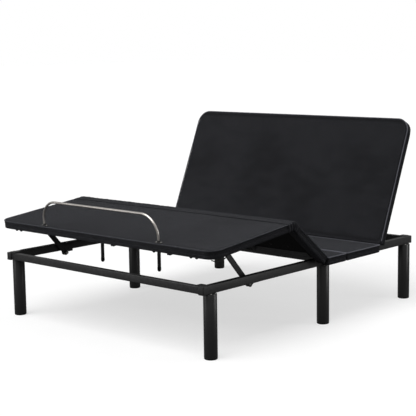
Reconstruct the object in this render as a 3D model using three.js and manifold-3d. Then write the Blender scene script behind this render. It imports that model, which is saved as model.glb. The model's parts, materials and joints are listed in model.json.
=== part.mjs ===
// Adjustable bed base: a steel frame on six legs that carries a four-section upholstered deck.
// Millimetres. +Z up, +Y towards the head, origin on the floor under the middle of the whole part.
// The sections are drawn lying flat and then turned about their hinges to the raised rest pose.
import * as THREE from 'three';
import { mergeVertices } from 'three/addons/utils/BufferGeometryUtils.js';
import Module from 'manifold-3d';

const wasm = await Module();
wasm.setup();

// ---- driving dimensions -------------------------------------------------------------------
const GAP = 0.3;                       // clearance between touching pieces
const RAD = Math.PI / 180;

const HEAD_ANGLE = 67;                 // head section above flat, at rest
const LEG_ANGLE = 38.5;                // thigh section above flat, at rest
const FOOT_ANGLE = 6;                  // foot section below horizontal, at rest

const DECK_HALF = 760;                 // half width of the upholstered deck
const SEAT_HINGE_Y = 793;              // hinge line between thigh and seat
const HEAD_HINGE_Y = 1256;             // hinge line between seat and head
const HINGE_Z = 353;                   // height of all deck hinge lines when flat
const THIGH_LENGTH = 342;
const FOOT_LENGTH = 585;
const HEAD_LENGTH = 702;
const HINGE_GAP = 4;                   // from a hinge line to the nearest edge of a section
const KNEE_Y = SEAT_HINGE_Y - THIGH_LENGTH;

const RAIL_X = 684;                    // centre line of the side rails and the legs
const RAIL_WIDTH = 30;
const RAIL_BOTTOM = 304;
const RAIL_TOP = 344;
const RAIL_WALL = 2;
const FRAME_FOOT_Y = -58;
const FRAME_HEAD_Y = 1645;
const SPLICE_Y = 848;                  // where the foot half meets the head half
const LEG_YS = [0, 848, 1595];
const LEG_RADIUS = 31.75;
const GLIDE_HEIGHT = 10;
const LEG_TOP = RAIL_BOTTOM - GAP;

const PANEL_BOTTOM = 347;
const PANEL_TOP = 352;
const PAD_TOP = 356.5;                 // upholstered top face
const EDGE_BOTTOM = 314.5;             // lower lip of the upholstered edge
const EDGE_WIDTH = 44;
const FOOT_CORNER = 60;                // plan radius of the foot corners
const HEAD_CORNER = 75;                // plan radius of the head corners
const SEAT_SEAM_Y = 953;               // seam between the two seat boxes
const SEAM = 6;

const HEAD_MOTOR_X = -250;
const LEG_MOTOR_X = -120;
const HEAD_MOTOR_PIVOT = [848, 282];   // Y, Z
const LEG_MOTOR_PIVOT = [1127, 285];
const HEAD_LEVER = [-35, -100];        // Y, Z from the head hinge when flat
const LEG_LEVER = [-20, -95];          // Y, Z from the seat hinge when flat
const HEAD_STROKE = 113;
const LEG_STROKE = 55;

const LINK_X = 652;                    // centre plane of each lift link
const LINK_WIDTH = 29;
const LINK_THICK = 6;
const LINK_ALONG = 397.3;              // top pivot, from the knee along the foot section
const LINK_BELOW = 46.7;               // top pivot, below the hinge line
const LINK_PIVOT_Y = 300;              // lower pivot on the frame
const POST_X = 203;
const EAR_X = 630;                     // side channel of the foot frame, beside the link

// ---- materials ----------------------------------------------------------------------------
const steel = () => new THREE.MeshStandardMaterial({ color: 0x2b2b2c, roughness: 0.45, metalness: 0.4 });
const fabric = () => new THREE.MeshStandardMaterial({ color: 0x28282c, roughness: 0.95, metalness: 0 });
const board = () => new THREE.MeshStandardMaterial({ color: 0x1d1b1a, roughness: 0.8, metalness: 0 });
const plastic = () => new THREE.MeshStandardMaterial({ color: 0x18181a, roughness: 0.55, metalness: 0 });
const rubber = () => new THREE.MeshStandardMaterial({ color: 0x151515, roughness: 0.85, metalness: 0 });
const zinc = () => new THREE.MeshStandardMaterial({ color: 0xa9a7a2, roughness: 0.3, metalness: 1 });
const nickel = () => new THREE.MeshStandardMaterial({ color: 0x9a8f86, roughness: 0.35, metalness: 1 });

// ---- geometry helpers ---------------------------------------------------------------------
// Outline raised along +Z from Z = 0.
function prism(shape, depth, curveSegments) {
  return new THREE.ExtrudeGeometry(shape, { depth, bevelEnabled: false, curveSegments });
}

// Outline in X, Y raised from z0 to z1.
function plate(shape, z0, z1, segments = 8) {
  return prism(shape, z1 - z0, segments).translate(0, 0, z0);
}

// Outline in Y, Z run from x0 to x1.
function slabX(shape, x0, x1, segments = 8) {
  const turn = new THREE.Matrix4().set(0, 0, 1, x0, 1, 0, 0, 0, 0, 1, 0, 0, 0, 0, 0, 1);
  return prism(shape, x1 - x0, segments).applyMatrix4(turn);
}

// Outline in X, Z run from y0 to y1.
function slabY(shape, y0, y1, segments = 6) {
  const turn = new THREE.Matrix4().set(1, 0, 0, 0, 0, 0, -1, y1, 0, 1, 0, 0, 0, 0, 0, 1);
  return prism(shape, y1 - y0, segments).applyMatrix4(turn);
}

function box(x0, x1, y0, y1, z0, z1) {
  const g = new THREE.BoxGeometry(x1 - x0, y1 - y0, z1 - z0);
  return g.translate((x0 + x1) / 2, (y0 + y1) / 2, (z0 + z1) / 2);
}

function polygon(points) {
  return new THREE.Shape(points.map(([a, b]) => new THREE.Vector2(a, b)));
}

// Rectangle with rounded corners, from (a0, b0) to (a1, b1).
function roundedRect(a0, b0, a1, b1, r) {
  const s = new THREE.Shape();
  s.moveTo(a0 + r, b0);
  s.absarc(a1 - r, b0 + r, r, -Math.PI / 2, 0, false);
  s.absarc(a1 - r, b1 - r, r, 0, Math.PI / 2, false);
  s.absarc(a0 + r, b1 - r, r, Math.PI / 2, Math.PI, false);
  s.absarc(a0 + r, b0 + r, r, Math.PI, 1.5 * Math.PI, false);
  return s;
}

// Stadium around the line from p to q.
function stadium(p, q, r) {
  const t = Math.atan2(q[1] - p[1], q[0] - p[0]);
  const s = new THREE.Shape();
  s.absarc(q[0], q[1], r, t - Math.PI / 2, t + Math.PI / 2, false);
  s.absarc(p[0], p[1], r, t + Math.PI / 2, t + 1.5 * Math.PI, false);
  return s;
}

function holeAt(p, r) {
  const h = new THREE.Path();
  h.absarc(p[0], p[1], r, 0, 2 * Math.PI, true);
  return h;
}

// Deck outline with both far corners rounded; far is the rounded end.
function roundedEnd(half, near, far, r) {
  const d = Math.sign(far - near);
  const s = new THREE.Shape();
  s.moveTo(-half, near);
  s.lineTo(half, near);
  s.lineTo(half, far - d * r);
  s.absarc(half - r, far - d * r, r, 0, d * Math.PI / 2, d < 0);
  s.lineTo(-half + r, far);
  s.absarc(-half + r, far - d * r, r, d * Math.PI / 2, d * Math.PI, d < 0);
  return s;
}

// Rectangular hollow section along Y or X.
function tubeSection(a0, b0, a1, b1, wall, corner = 3) {
  const s = roundedRect(a0, b0, a1, b1, corner);
  s.holes.push(roundedRect(a0 + wall, b0 + wall, a1 - wall, b1 - wall, 1));
  return s;
}

function tubeY(x0, x1, z0, z1, y0, y1, wall = RAIL_WALL) {
  return slabY(tubeSection(x0, z0, x1, z1, wall), y0, y1, 2);
}

function tubeX(y0, y1, z0, z1, x0, x1, wall = RAIL_WALL) {
  return slabX(tubeSection(y0, z0, y1, z1, wall), x0, x1, 2);
}

// Round bar between two points on a line along axis 'x', 'y' or 'z'.
function barAlong(axis, radius, from, to, a, b, segments = 16) {
  const g = new THREE.CylinderGeometry(radius, radius, to - from, segments);
  if (axis === 'x') return g.rotateZ(Math.PI / 2).translate((from + to) / 2, a, b);
  if (axis === 'y') return g.translate(a, (from + to) / 2, b);
  return g.rotateX(Math.PI / 2).translate(a, b, (from + to) / 2);
}

// Round bar that follows a curve.
function barOnCurve(curve, radius, steps, sides) {
  const ring = new THREE.Shape();
  ring.absarc(0, 0, radius, 0, 2 * Math.PI, false);
  const options = { steps, extrudePath: curve, bevelEnabled: false, curveSegments: sides };
  return new THREE.ExtrudeGeometry(ring, options);
}

function solid(geometry) {
  const g = geometry.clone();
  g.deleteAttribute('normal');
  g.deleteAttribute('uv');
  const m = mergeVertices(g, 1e-4);
  const vertProperties = new Float32Array(m.attributes.position.array);
  const triVerts = new Uint32Array(m.index.array);
  return new wasm.Manifold(new wasm.Mesh({ numProp: 3, vertProperties, triVerts }));
}

function geometryOf(manifold) {
  const mesh = manifold.getMesh();
  const out = new THREE.BufferGeometry();
  out.setAttribute('position', new THREE.Float32BufferAttribute(mesh.vertProperties, 3));
  out.setIndex(new THREE.Uint32BufferAttribute(mesh.triVerts, 1));
  return out;
}

function join(pieces) {
  return geometryOf(pieces.map(solid).reduce((a, b) => a.add(b)));
}

function subtract(base, tools) {
  return geometryOf(tools.reduce((left, tool) => left.subtract(solid(tool)), solid(base)));
}

function add(parent, name, geometry, material) {
  const mesh = new THREE.Mesh(geometry, material);
  mesh.name = name;
  parent.add(mesh);
}

// Group turned about a hinge line parallel to X at (y, z).
function hinged(parent, y, z, degrees) {
  const turned = new THREE.Group();
  turned.position.set(0, y, z);
  turned.rotation.x = degrees * RAD;
  parent.add(turned);
  const content = new THREE.Group();
  content.position.set(0, -y, -z);
  turned.add(content);
  return content;
}

const SIDES = [['left', -1], ['right', 1]];

// Low and high X of a band on one side of the centre line.
function band(side, inner, outer) {
  return side < 0 ? [-outer, -inner] : [inner, outer];
}

// ---- lift link pivots ---------------------------------------------------------------------
const PIN_R = 5;
// A section point given by its distance along and below the hinge line, turned to the rest pose.
const kneeRest = [
  SEAT_HINGE_Y - THIGH_LENGTH * Math.cos(LEG_ANGLE * RAD),
  HINGE_Z + THIGH_LENGTH * Math.sin(LEG_ANGLE * RAD),
];
const linkTopFlat = [KNEE_Y - LINK_ALONG, HINGE_Z - LINK_BELOW];
const linkTopRest = [
  kneeRest[0] - LINK_ALONG * Math.cos(FOOT_ANGLE * RAD) + LINK_BELOW * Math.sin(FOOT_ANGLE * RAD),
  kneeRest[1] - LINK_ALONG * Math.sin(FOOT_ANGLE * RAD) - LINK_BELOW * Math.cos(FOOT_ANGLE * RAD),
];
// The lower pivot is as far from the top pivot's rest place as from its flat place.
const midY = (linkTopFlat[0] + linkTopRest[0]) / 2;
const midZ = (linkTopFlat[1] + linkTopRest[1]) / 2;
const slope = (linkTopRest[0] - linkTopFlat[0]) / (linkTopRest[1] - linkTopFlat[1]);
const linkPivot = [LINK_PIVOT_Y, midZ - (LINK_PIVOT_Y - midY) * slope];
const LINK_HOLE = PIN_R + 0.4;
const LINK_TOP_HOLE = PIN_R + 3.4;

// ---- frame --------------------------------------------------------------------------------
const WELD = 0.2;                      // overlap of pieces that are welded into one
const INNER_FACE = RAIL_X - RAIL_WIDTH / 2;
const OUTER_FACE = RAIL_X + RAIL_WIDTH / 2;

// Raised clip over a frame corner's inner side; d points from the frame's end into the frame.
function cornerClip(side, y, d) {
  const x = band(side, INNER_FACE - 22, OUTER_FACE - 10);
  const [y0, y1] = d > 0 ? [y, y + 36] : [y - 36, y];
  return plate(roundedRect(x[0], y0, x[1], y1, 6), RAIL_TOP - WELD, PANEL_BOTTOM - GAP, 3);
}

// Bracket on a side rail's inner face for the lift link's lower pivot.
function linkBracket(side) {
  const [y, z] = linkPivot;
  const outline = new THREE.Shape();
  outline.moveTo(y - 24, RAIL_TOP - 6);
  outline.lineTo(y - 15, z);
  outline.absarc(y, z, 15, Math.PI, 2 * Math.PI - 0.4, false);
  outline.lineTo(y + 24, RAIL_BOTTOM - 10);
  outline.lineTo(y + 62, RAIL_BOTTOM - 10);
  outline.lineTo(y + 62, RAIL_TOP - 6);
  outline.holes.push(holeAt(linkPivot, PIN_R + GAP));
  return slabX(outline, ...band(side, INNER_FACE - 4, INNER_FACE + WELD), 8);
}

function sideRails(root) {
  for (const [name, side] of SIDES) {
    const [x0, x1] = band(side, INNER_FACE, OUTER_FACE);
    const front = [tubeY(x0, x1, RAIL_BOTTOM, RAIL_TOP, FRAME_FOOT_Y, SPLICE_Y - 1)];
    front.push(box(x0 + 1, x1 - 1, FRAME_FOOT_Y, FRAME_FOOT_Y + RAIL_WALL, RAIL_BOTTOM + 1, RAIL_TOP - 1));
    front.push(cornerClip(side, FRAME_FOOT_Y + 4, 1), linkBracket(side));
    add(root, `side_rail_foot_${name}`, join(front), steel());
    const rear = [tubeY(x0, x1, RAIL_BOTTOM, RAIL_TOP, SPLICE_Y + 1, FRAME_HEAD_Y)];
    rear.push(box(x0 + 1, x1 - 1, FRAME_HEAD_Y - RAIL_WALL, FRAME_HEAD_Y, RAIL_BOTTOM + 1, RAIL_TOP - 1));
    rear.push(cornerClip(side, FRAME_HEAD_Y - 4, -1));
    add(root, `side_rail_head_${name}`, join(rear), steel());
    const [s0, s1] = band(side, RAIL_X - 5, RAIL_X + 9);
    const strip = box(s0, s1, 20, SEAT_HINGE_Y - 12, RAIL_TOP + GAP, RAIL_TOP + 2.4);
    add(root, `rail_strip_${name}`, strip, rubber());
  }
}

// Clevis plates under a cross tube with the rear pin of an actuator.
function motorClevis(x, [y, z], tubeBottom) {
  const outline = new THREE.Shape();
  outline.moveTo(y - 13, tubeBottom + WELD);
  outline.lineTo(y - 13, z);
  outline.absarc(y, z, 13, Math.PI, 2 * Math.PI, false);
  outline.lineTo(y + 13, tubeBottom + WELD);
  const cheeks = [slabX(outline, x - 14, x - 10, 8), slabX(outline, x + 10, x + 14, 8)];
  return [...cheeks, barAlong('x', PIN_R, x - 18, x + 18, y, z, 16)];
}

const CROSS = 30;
const CROSS_BOTTOM = 306;
const MIDDLE_BOTTOM = 314;             // the middle cross tube is shallower and set higher
const CROSS_REACH = INNER_FACE - GAP;

function crossMembers(root) {
  const tube = (y, z0, z1) => tubeX(y, y + CROSS, z0, z1, -CROSS_REACH, CROSS_REACH);
  add(root, 'cross_rail_foot', tube(FRAME_FOOT_Y + 2, CROSS_BOTTOM, RAIL_TOP - 3), steel());
  add(root, 'cross_rail_head', tube(FRAME_HEAD_Y - 2 - CROSS, CROSS_BOTTOM, RAIL_TOP - 3), steel());
  const [headY] = HEAD_MOTOR_PIVOT;
  const middle = [tube(headY - CROSS / 2, MIDDLE_BOTTOM, RAIL_TOP - 6)];
  middle.push(...motorClevis(HEAD_MOTOR_X, HEAD_MOTOR_PIVOT, MIDDLE_BOTTOM));
  const splice = roundedRect(SPLICE_Y - 42, RAIL_BOTTOM + 4, SPLICE_Y + 42, RAIL_TOP - 2, 5);
  splice.holes.push(holeAt([SPLICE_Y, (MIDDLE_BOTTOM + RAIL_TOP - 6) / 2], 7));
  for (const [, side] of SIDES) middle.push(slabX(splice, ...band(side, CROSS_REACH - 4, CROSS_REACH), 3));
  add(root, 'cross_tube_middle', join(middle), steel());
  const [legY] = LEG_MOTOR_PIVOT;
  const rear = [tube(legY - CROSS / 2, CROSS_BOTTOM, CROSS_BOTTOM + CROSS)];
  rear.push(...motorClevis(LEG_MOTOR_X, LEG_MOTOR_PIVOT, CROSS_BOTTOM));
  add(root, 'cross_tube_rear', join(rear), steel());
}

function lathe(profile, segments) {
  const points = profile.map(([r, z]) => new THREE.Vector2(r, z));
  return new THREE.LatheGeometry(points, segments).rotateX(Math.PI / 2);
}

function legs(root) {
  const r = LEG_RADIUS;
  const low = GLIDE_HEIGHT + GAP;
  const tube = [[0, LEG_TOP - 5], [r - 2, LEG_TOP - 5], [r - 2, low], [r, low], [r, LEG_TOP], [0, LEG_TOP]];
  const glide = [[0, 0], [r - 3, 0], [r - 0.5, 3], [r - 0.5, GLIDE_HEIGHT], [0, GLIDE_HEIGHT]];
  const stations = [['foot', LEG_YS[0]], ['middle', LEG_YS[1]], ['head', LEG_YS[2]]];
  for (const [name, side] of SIDES) {
    for (const [station, y] of stations) {
      add(root, `leg_${station}_${name}`, lathe(tube, 28).translate(side * RAIL_X, y, 0), steel());
      add(root, `glide_${station}_${name}`, lathe(glide, 28).translate(side * RAIL_X, y, 0), rubber());
    }
  }
}

// ---- deck sections ------------------------------------------------------------------------
const PANEL_HALF = DECK_HALF - EDGE_WIDTH - 0.5;
const KNEE_PANEL_GAP = 7;              // the panels stay clear of each other under the raised knee
const THIGH_NEAR = SEAT_HINGE_Y - HINGE_GAP;
const THIGH_FAR = KNEE_Y + HINGE_GAP;
const FOOT_NEAR = KNEE_Y - HINGE_GAP;
const FOOT_FAR = KNEE_Y - FOOT_LENGTH;
const HEAD_NEAR = HEAD_HINGE_Y + HINGE_GAP;
const HEAD_FAR = HEAD_HINGE_Y + HEAD_LENGTH;
const SEAT_NEAR = SEAT_HINGE_Y + HINGE_GAP;
const SEAT_FAR = HEAD_HINGE_Y - HINGE_GAP;
const MITRE = (HINGE_Z - EDGE_BOTTOM) * Math.tan((LEG_ANGLE + FOOT_ANGLE) / 2 * RAD) + 1;

function panel(y0, y1) {
  return plate(roundedRect(-PANEL_HALF, y0, PANEL_HALF, y1, 4), PANEL_BOTTOM, PANEL_TOP, 2);
}

function topPad(y0, y1) {
  return plate(roundedRect(-DECK_HALF, y0, DECK_HALF, y1, 2), PANEL_TOP + GAP, PAD_TOP, 2);
}

// Side edges between y0 and y1, cut back below by the two mitres.
function sideEdges(y0, y1, mitre0 = 0, mitre1 = 0) {
  const top = PANEL_TOP + 1;
  const outline = [[y0 + mitre0, EDGE_BOTTOM], [y1 - mitre1, EDGE_BOTTOM], [y1, top], [y0, top]];
  return SIDES.map(([, side]) => slabX(polygon(outline), ...band(side, DECK_HALF - EDGE_WIDTH, DECK_HALF)));
}

function seat(root) {
  const boxes = [['front', SEAT_NEAR, SEAT_SEAM_Y - SEAM / 2], ['rear', SEAT_SEAM_Y + SEAM / 2, SEAT_FAR]];
  for (const [name, y0, y1] of boxes) {
    add(root, `seat_panel_${name}`, panel(y0, y1), board());
    add(root, `seat_cover_${name}`, join([topPad(y0, y1), ...sideEdges(y0, y1)]), fabric());
  }
}

function thighBoards(thigh) {
  add(thigh, 'thigh_panel', panel(KNEE_Y + KNEE_PANEL_GAP, THIGH_NEAR), board());
  const cover = [topPad(THIGH_FAR, THIGH_NEAR), ...sideEdges(THIGH_FAR, THIGH_NEAR, MITRE, 0)];
  add(thigh, 'thigh_cover', join(cover), fabric());
}

// Cover with a rounded far end: top, end edge and side edges in one.
function endCover(near, far, corner, mitre) {
  const inner = far + Math.sign(near - far) * corner;
  const top = plate(roundedEnd(DECK_HALF, near, far, corner), PANEL_TOP + GAP, PAD_TOP, 10);
  const end = plate(roundedEnd(DECK_HALF, inner, far, corner), EDGE_BOTTOM, PANEL_TOP + 1, 10);
  const [y0, y1] = near > far ? [inner - WELD, near] : [near, inner + WELD];
  return join([top, end, ...sideEdges(y0, y1, 0, near > far ? mitre : 0)]);
}

function footBoards(foot) {
  const panelFar = FOOT_FAR + FOOT_CORNER + GAP;
  add(foot, 'foot_panel', panel(panelFar, KNEE_Y - KNEE_PANEL_GAP), board());
  add(foot, 'foot_cover', endCover(FOOT_NEAR, FOOT_FAR, FOOT_CORNER, MITRE), fabric());
}

function headBoards(head) {
  add(head, 'head_panel', panel(HEAD_NEAR, HEAD_FAR - HEAD_CORNER - GAP), board());
  add(head, 'head_cover', endCover(HEAD_NEAR, HEAD_FAR, HEAD_CORNER, 0), fabric());
}

// ---- hinges -------------------------------------------------------------------------------
const HINGE_XS = [-600, 0, 600];
const KNUCKLE = 30;
const BARREL = 3;
const PIN_BORE = 1.7;
const HINGE_PIN = 1.4;
const LEAF_T = 1.5;
const LEAF_DEPTH = 40;
const LEAF_HALF = 650;
const LEAF_TOP = PANEL_BOTTOM - GAP;
const WEB = [1.2, 2.8];                // the knuckle's web stands in the gap between two sections
const MIDDLE_KNUCKLE = [-0.5];
const OUTER_KNUCKLES = [-1.5, 0.5];

// One side of a long hinge: leaf, webs and knuckles; dir points from the hinge line into its section.
function hingeLeaf(y, dir, slots, leafFrom) {
  const low = LEAF_TOP - LEAF_T;
  const span = (a, b) => (dir > 0 ? [y + a, y + b] : [y - b, y - a]);
  const list = [box(-LEAF_HALF, LEAF_HALF, ...span(leafFrom, LEAF_DEPTH), low, LEAF_TOP)];
  for (const x of HINGE_XS) {
    for (const slot of slots) {
      const x0 = x + slot * KNUCKLE + 0.4;
      const x1 = x + (slot + 1) * KNUCKLE - 0.4;
      const ring = new THREE.Shape();
      ring.absarc(y, HINGE_Z, BARREL, 0, 2 * Math.PI, false);
      ring.holes.push(holeAt([y, HINGE_Z], PIN_BORE));
      list.push(slabX(ring, x0, x1, 6), box(x0, x1, ...span(...WEB), low, HINGE_Z));
      list.push(box(x0, x1, ...span(WEB[0], LEAF_DEPTH / 2), low, LEAF_TOP));
    }
  }
  const bore = barAlong('x', PIN_BORE, -LEAF_HALF, LEAF_HALF, y, HINGE_Z, 12);
  return subtract(join(list), [bore]);
}

function hingePin(group, name, y) {
  const half = HINGE_XS[2] + 1.5 * KNUCKLE;
  add(group, name, barAlong('x', HINGE_PIN, -half, half, y, HINGE_Z, 8), zinc());
}

// ---- moving subframes ---------------------------------------------------------------------
const SUB = 20;
const SUB_TOP = LEAF_TOP - LEAF_T + WELD;
const SUB_BOTTOM = SUB_TOP - SUB;
const SUB_X = 300;
const LEVER_T = 4;
const LEVER_GAP = 12;

// Channel open at the bottom, from a0 to a1 across.
function channel(a0, a1) {
  const w = 2;
  const points = [[a0, SUB_BOTTOM], [a0 + w, SUB_BOTTOM], [a0 + w, SUB_TOP - w], [a1 - w, SUB_TOP - w]];
  points.push([a1 - w, SUB_BOTTOM], [a1, SUB_BOTTOM], [a1, SUB_TOP], [a0, SUB_TOP]);
  return polygon(points);
}

const longChannel = (x, y0, y1) => slabY(channel(x - SUB / 2, x + SUB / 2), y0, y1);
const crossChannel = (y, x0, x1) => slabX(channel(y, y + SUB), x0, x1);

// Two slotted plates under a cross channel; the slot runs from the pin towards the hinge line.
function leverPlates(x, hinge, offset, slotLength, slotRadius, footY) {
  const pin = [hinge[0] + offset[0], hinge[1] + offset[1]];
  const reach = Math.hypot(...offset);
  const end = pin.map((v, i) => v - (offset[i] / reach) * slotLength);
  const top = SUB_BOTTOM + 1;
  const rim = slotRadius + 9;
  const outline = new THREE.Shape();
  outline.moveTo(footY[0], top);
  outline.lineTo(pin[0] - rim, pin[1]);
  outline.absarc(pin[0], pin[1], rim, Math.PI, 2 * Math.PI, false);
  outline.lineTo(footY[1], top);
  outline.holes.push(stadium(pin, end, slotRadius));
  const inner = slabX(outline, x - LEVER_GAP - LEVER_T, x - LEVER_GAP, 8);
  return [inner, slabX(outline, x + LEVER_GAP, x + LEVER_GAP + LEVER_T, 8)];
}

function thighFrame(thigh) {
  const list = [hingeLeaf(SEAT_HINGE_Y, -1, OUTER_KNUCKLES, WEB[0])];
  list.push(hingeLeaf(KNEE_Y, 1, MIDDLE_KNUCKLE, KNEE_PANEL_GAP));
  for (const side of [-1, 1]) list.push(longChannel(side * SUB_X, KNEE_Y + 24, SEAT_HINGE_Y - 12));
  const crossY = SEAT_HINGE_Y - 46;
  list.push(crossChannel(crossY, -SUB_X, SUB_X));
  const hinge = [SEAT_HINGE_Y, HINGE_Z];
  list.push(...leverPlates(LEG_MOTOR_X, hinge, LEG_LEVER, 6, PIN_R + 1.2, [crossY, crossY + SUB]));
  add(thigh, 'thigh_frame', join(list), steel());
}

function headFrame(head) {
  const list = [hingeLeaf(HEAD_HINGE_Y, 1, OUTER_KNUCKLES, WEB[0])];
  for (const side of [-1, 1]) list.push(longChannel(side * SUB_X, HEAD_HINGE_Y + 12, 1590));
  const crossY = HEAD_HINGE_Y + 22;
  list.push(crossChannel(crossY, -SUB_X, SUB_X), crossChannel(1480, -SUB_X, SUB_X));
  const hinge = [HEAD_HINGE_Y, HINGE_Z];
  list.push(...leverPlates(HEAD_MOTOR_X, hinge, HEAD_LEVER, 16, PIN_R + 3, [crossY - 22, crossY + SUB]));
  add(head, 'head_frame', join(list), steel());
}

// Foot section frame: long channels, cross channels, link ears and folded hangers.
function footFrame(foot) {
  const list = [hingeLeaf(KNEE_Y, -1, OUTER_KNUCKLES, KNEE_PANEL_GAP)];
  for (const side of [-1, 1]) {
    list.push(longChannel(side * POST_X, -20, KNEE_Y - 24), longChannel(side * EAR_X, -20, KNEE_Y - 24));
    list.push(...hangers(side), ...linkEars(side));
  }
  list.push(crossChannel(20, -EAR_X, EAR_X), crossChannel(300, -EAR_X, EAR_X));
  add(foot, 'foot_frame', join(list), steel());
}

// ---- foot section fittings ----------------------------------------------------------------
const POST_FLAT_Y = KNEE_Y - 384.6;
const POST_LENGTH = 182;
const POST_R = 9;

// Post with a domed end, hanging straight down when the section is at rest.
function footPosts(foot) {
  const profile = [[0, 0]];
  for (let i = 1; i <= 6; i += 1) {
    const t = (i / 6) * Math.PI / 2;
    profile.push([POST_R * Math.sin(t), 6 * (1 - Math.cos(t))]);
  }
  profile.push([POST_R, POST_LENGTH], [0, POST_LENGTH]);
  for (const [name, side] of SIDES) {
    const post = lathe(profile, 18).translate(0, 0, -POST_LENGTH).rotateX(-FOOT_ANGLE * RAD);
    post.translate(side * POST_X, POST_FLAT_Y + 18, SUB_BOTTOM - 1.6);
    add(foot, `foot_post_${name}`, post, steel());
  }
}

// Folded hanger behind a post.
function hangers(side) {
  const y = KNEE_Y - 311.7;
  const top = SUB_BOTTOM + 1;
  const outline = polygon([[y, 206], [y + 46, 206], [y + 96, top], [y - 6, top]]);
  const cheeks = [-10, 6].map((dx) => slabX(outline, side * POST_X + dx, side * POST_X + dx + 4));
  return [...cheeks, box(side * POST_X - 8, side * POST_X + 8, y + 2, y + 44, 206, 210)];
}

const BAR_X = 408;
const BAR_Y = FOOT_FAR + 16;
const BAR_HEIGHT = 130;
const BAR_R = 6;
const BAR_BEND = 100;

function retainer(foot) {
  const base = PAD_TOP + 3.6;
  const top = PAD_TOP + BAR_HEIGHT;
  const bend = BAR_BEND * (4 / 3) * (Math.SQRT2 - 1);
  const v = (x, z) => new THREE.Vector3(x, BAR_Y, z);
  const path = new THREE.CurvePath();
  path.add(new THREE.LineCurve3(v(-BAR_X, base), v(-BAR_X, top - BAR_BEND)));
  const left = [v(-BAR_X, top - BAR_BEND), v(-BAR_X, top - BAR_BEND + bend)];
  left.push(v(-BAR_X + BAR_BEND - bend, top));
  path.add(new THREE.CubicBezierCurve3(...left, v(-BAR_X + BAR_BEND, top)));
  path.add(new THREE.LineCurve3(v(-BAR_X + BAR_BEND, top), v(BAR_X - BAR_BEND, top)));
  const right = [v(BAR_X - BAR_BEND, top), v(BAR_X - BAR_BEND + bend, top), v(BAR_X, top - BAR_BEND + bend)];
  path.add(new THREE.CubicBezierCurve3(...right, v(BAR_X, top - BAR_BEND)));
  path.add(new THREE.LineCurve3(v(BAR_X, top - BAR_BEND), v(BAR_X, base)));
  add(foot, 'retainer_bar', barOnCurve(path, BAR_R, 56, 5), nickel());
  for (const [name, side] of SIDES) {
    const x = side * BAR_X;
    const flange = roundedRect(x - 20, BAR_Y - 11, x + 20, BAR_Y + 11, 6);
    add(foot, `retainer_socket_${name}`, plate(flange, PAD_TOP + GAP, PAD_TOP + 3.3, 4), steel());
  }
}

// Gathered fabric strip over the knee joint, fixed to the foot section's end.
function kneeGusset(foot) {
  const strip = box(-PANEL_HALF, PANEL_HALF, FOOT_NEAR - 30, FOOT_NEAR, PAD_TOP + GAP, PAD_TOP + 1.8);
  add(foot, 'knee_gusset', strip, fabric());
}

// ---- lift links ---------------------------------------------------------------------------
function liftLinks(root) {
  for (const [name, side] of SIDES) {
    const outline = stadium(linkPivot, linkTopRest, LINK_WIDTH / 2);
    outline.holes.push(holeAt(linkPivot, LINK_HOLE), holeAt(linkTopRest, LINK_TOP_HOLE));
    const [x0, x1] = band(side, LINK_X - LINK_THICK / 2, LINK_X + LINK_THICK / 2);
    add(root, `lift_link_${name}`, slabX(outline, x0, x1, 10), steel());
  }
}

// Lower pivot bolts, with the head on the inner side of the link.
function linkBolts(root) {
  const [y, z] = linkPivot;
  for (const [name, side] of SIDES) {
    const shank = barAlong('x', PIN_R, ...band(side, LINK_X - 9, INNER_FACE - 1), y, z, 16);
    const hex = barAlong('x', 9, ...band(side, LINK_X - 14, LINK_X - 8), y, z, 6);
    add(root, `link_bolt_${name}`, join([shank, hex]), zinc());
  }
}

// Ear on the foot section's side channel, with the pin in the link's top hole.
function linkEars(side) {
  const [y, z] = linkTopFlat;
  const ear = new THREE.Shape();
  ear.moveTo(y + 30, SUB_TOP - 1);
  ear.lineTo(y - 30, SUB_TOP - 1);
  ear.lineTo(y - 14, z);
  ear.absarc(y, z, 14, Math.PI, 2 * Math.PI, false);
  const plateX = band(side, EAR_X + SUB / 2 - WELD, EAR_X + SUB / 2 + 4);
  const pin = barAlong('x', PIN_R, ...band(side, EAR_X + SUB / 2 + 3, LINK_X + 6), y, z, 16);
  return [slabX(ear, ...plateX, 8), pin];
}

// Short loop of cable under the right foot corner, from the end edge to the side edge.
function cornerCable(foot) {
  const low = EDGE_BOTTOM - 2.8;
  const points = [[728, 16, low - 1], [739, 34, low - 9], [744, 62, low - 12]];
  points.push([742, 94, low - 8], [733, 126, low - 1]);
  const curve = new THREE.CatmullRomCurve3(points.map(([x, y, z]) => new THREE.Vector3(x, FOOT_FAR + y, z)));
  add(foot, 'corner_cable', barOnCurve(curve, 2.5, 20, 4), rubber());
}

// ---- actuators ----------------------------------------------------------------------------
const GEAR_FROM = 34;
const GEAR_TO = 104;
const EYE_R = 13;

function turnedPoint(hinge, offset, degrees) {
  const c = Math.cos(degrees * RAD);
  const s = Math.sin(degrees * RAD);
  return [hinge[0] + offset[0] * c - offset[1] * s, hinge[1] + offset[0] * s + offset[1] * c];
}

// Places a piece drawn along +Y from the origin at an actuator's pivot, pointing at its pin.
function aimed(root, x, pivot, pin) {
  const group = new THREE.Group();
  group.position.set(x, pivot[0], pivot[1]);
  group.rotation.x = Math.atan2(pin[1] - pivot[1], pin[0] - pivot[0]);
  root.add(group);
  return group;
}

function eye(y, hole) {
  const ring = new THREE.Shape();
  ring.absarc(y, 0, EYE_R, 0, 2 * Math.PI, false);
  ring.holes.push(holeAt([y, 0], hole));
  return slabX(ring, -8, 8, 8);
}

function hollowTube(y0, y1, outer, inner) {
  const profile = [[inner, y0], [outer, y0], [outer, y1], [inner, y1], [inner, y0]];
  return new THREE.LatheGeometry(profile.map(([r, y]) => new THREE.Vector2(r, y)), 24);
}

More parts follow.
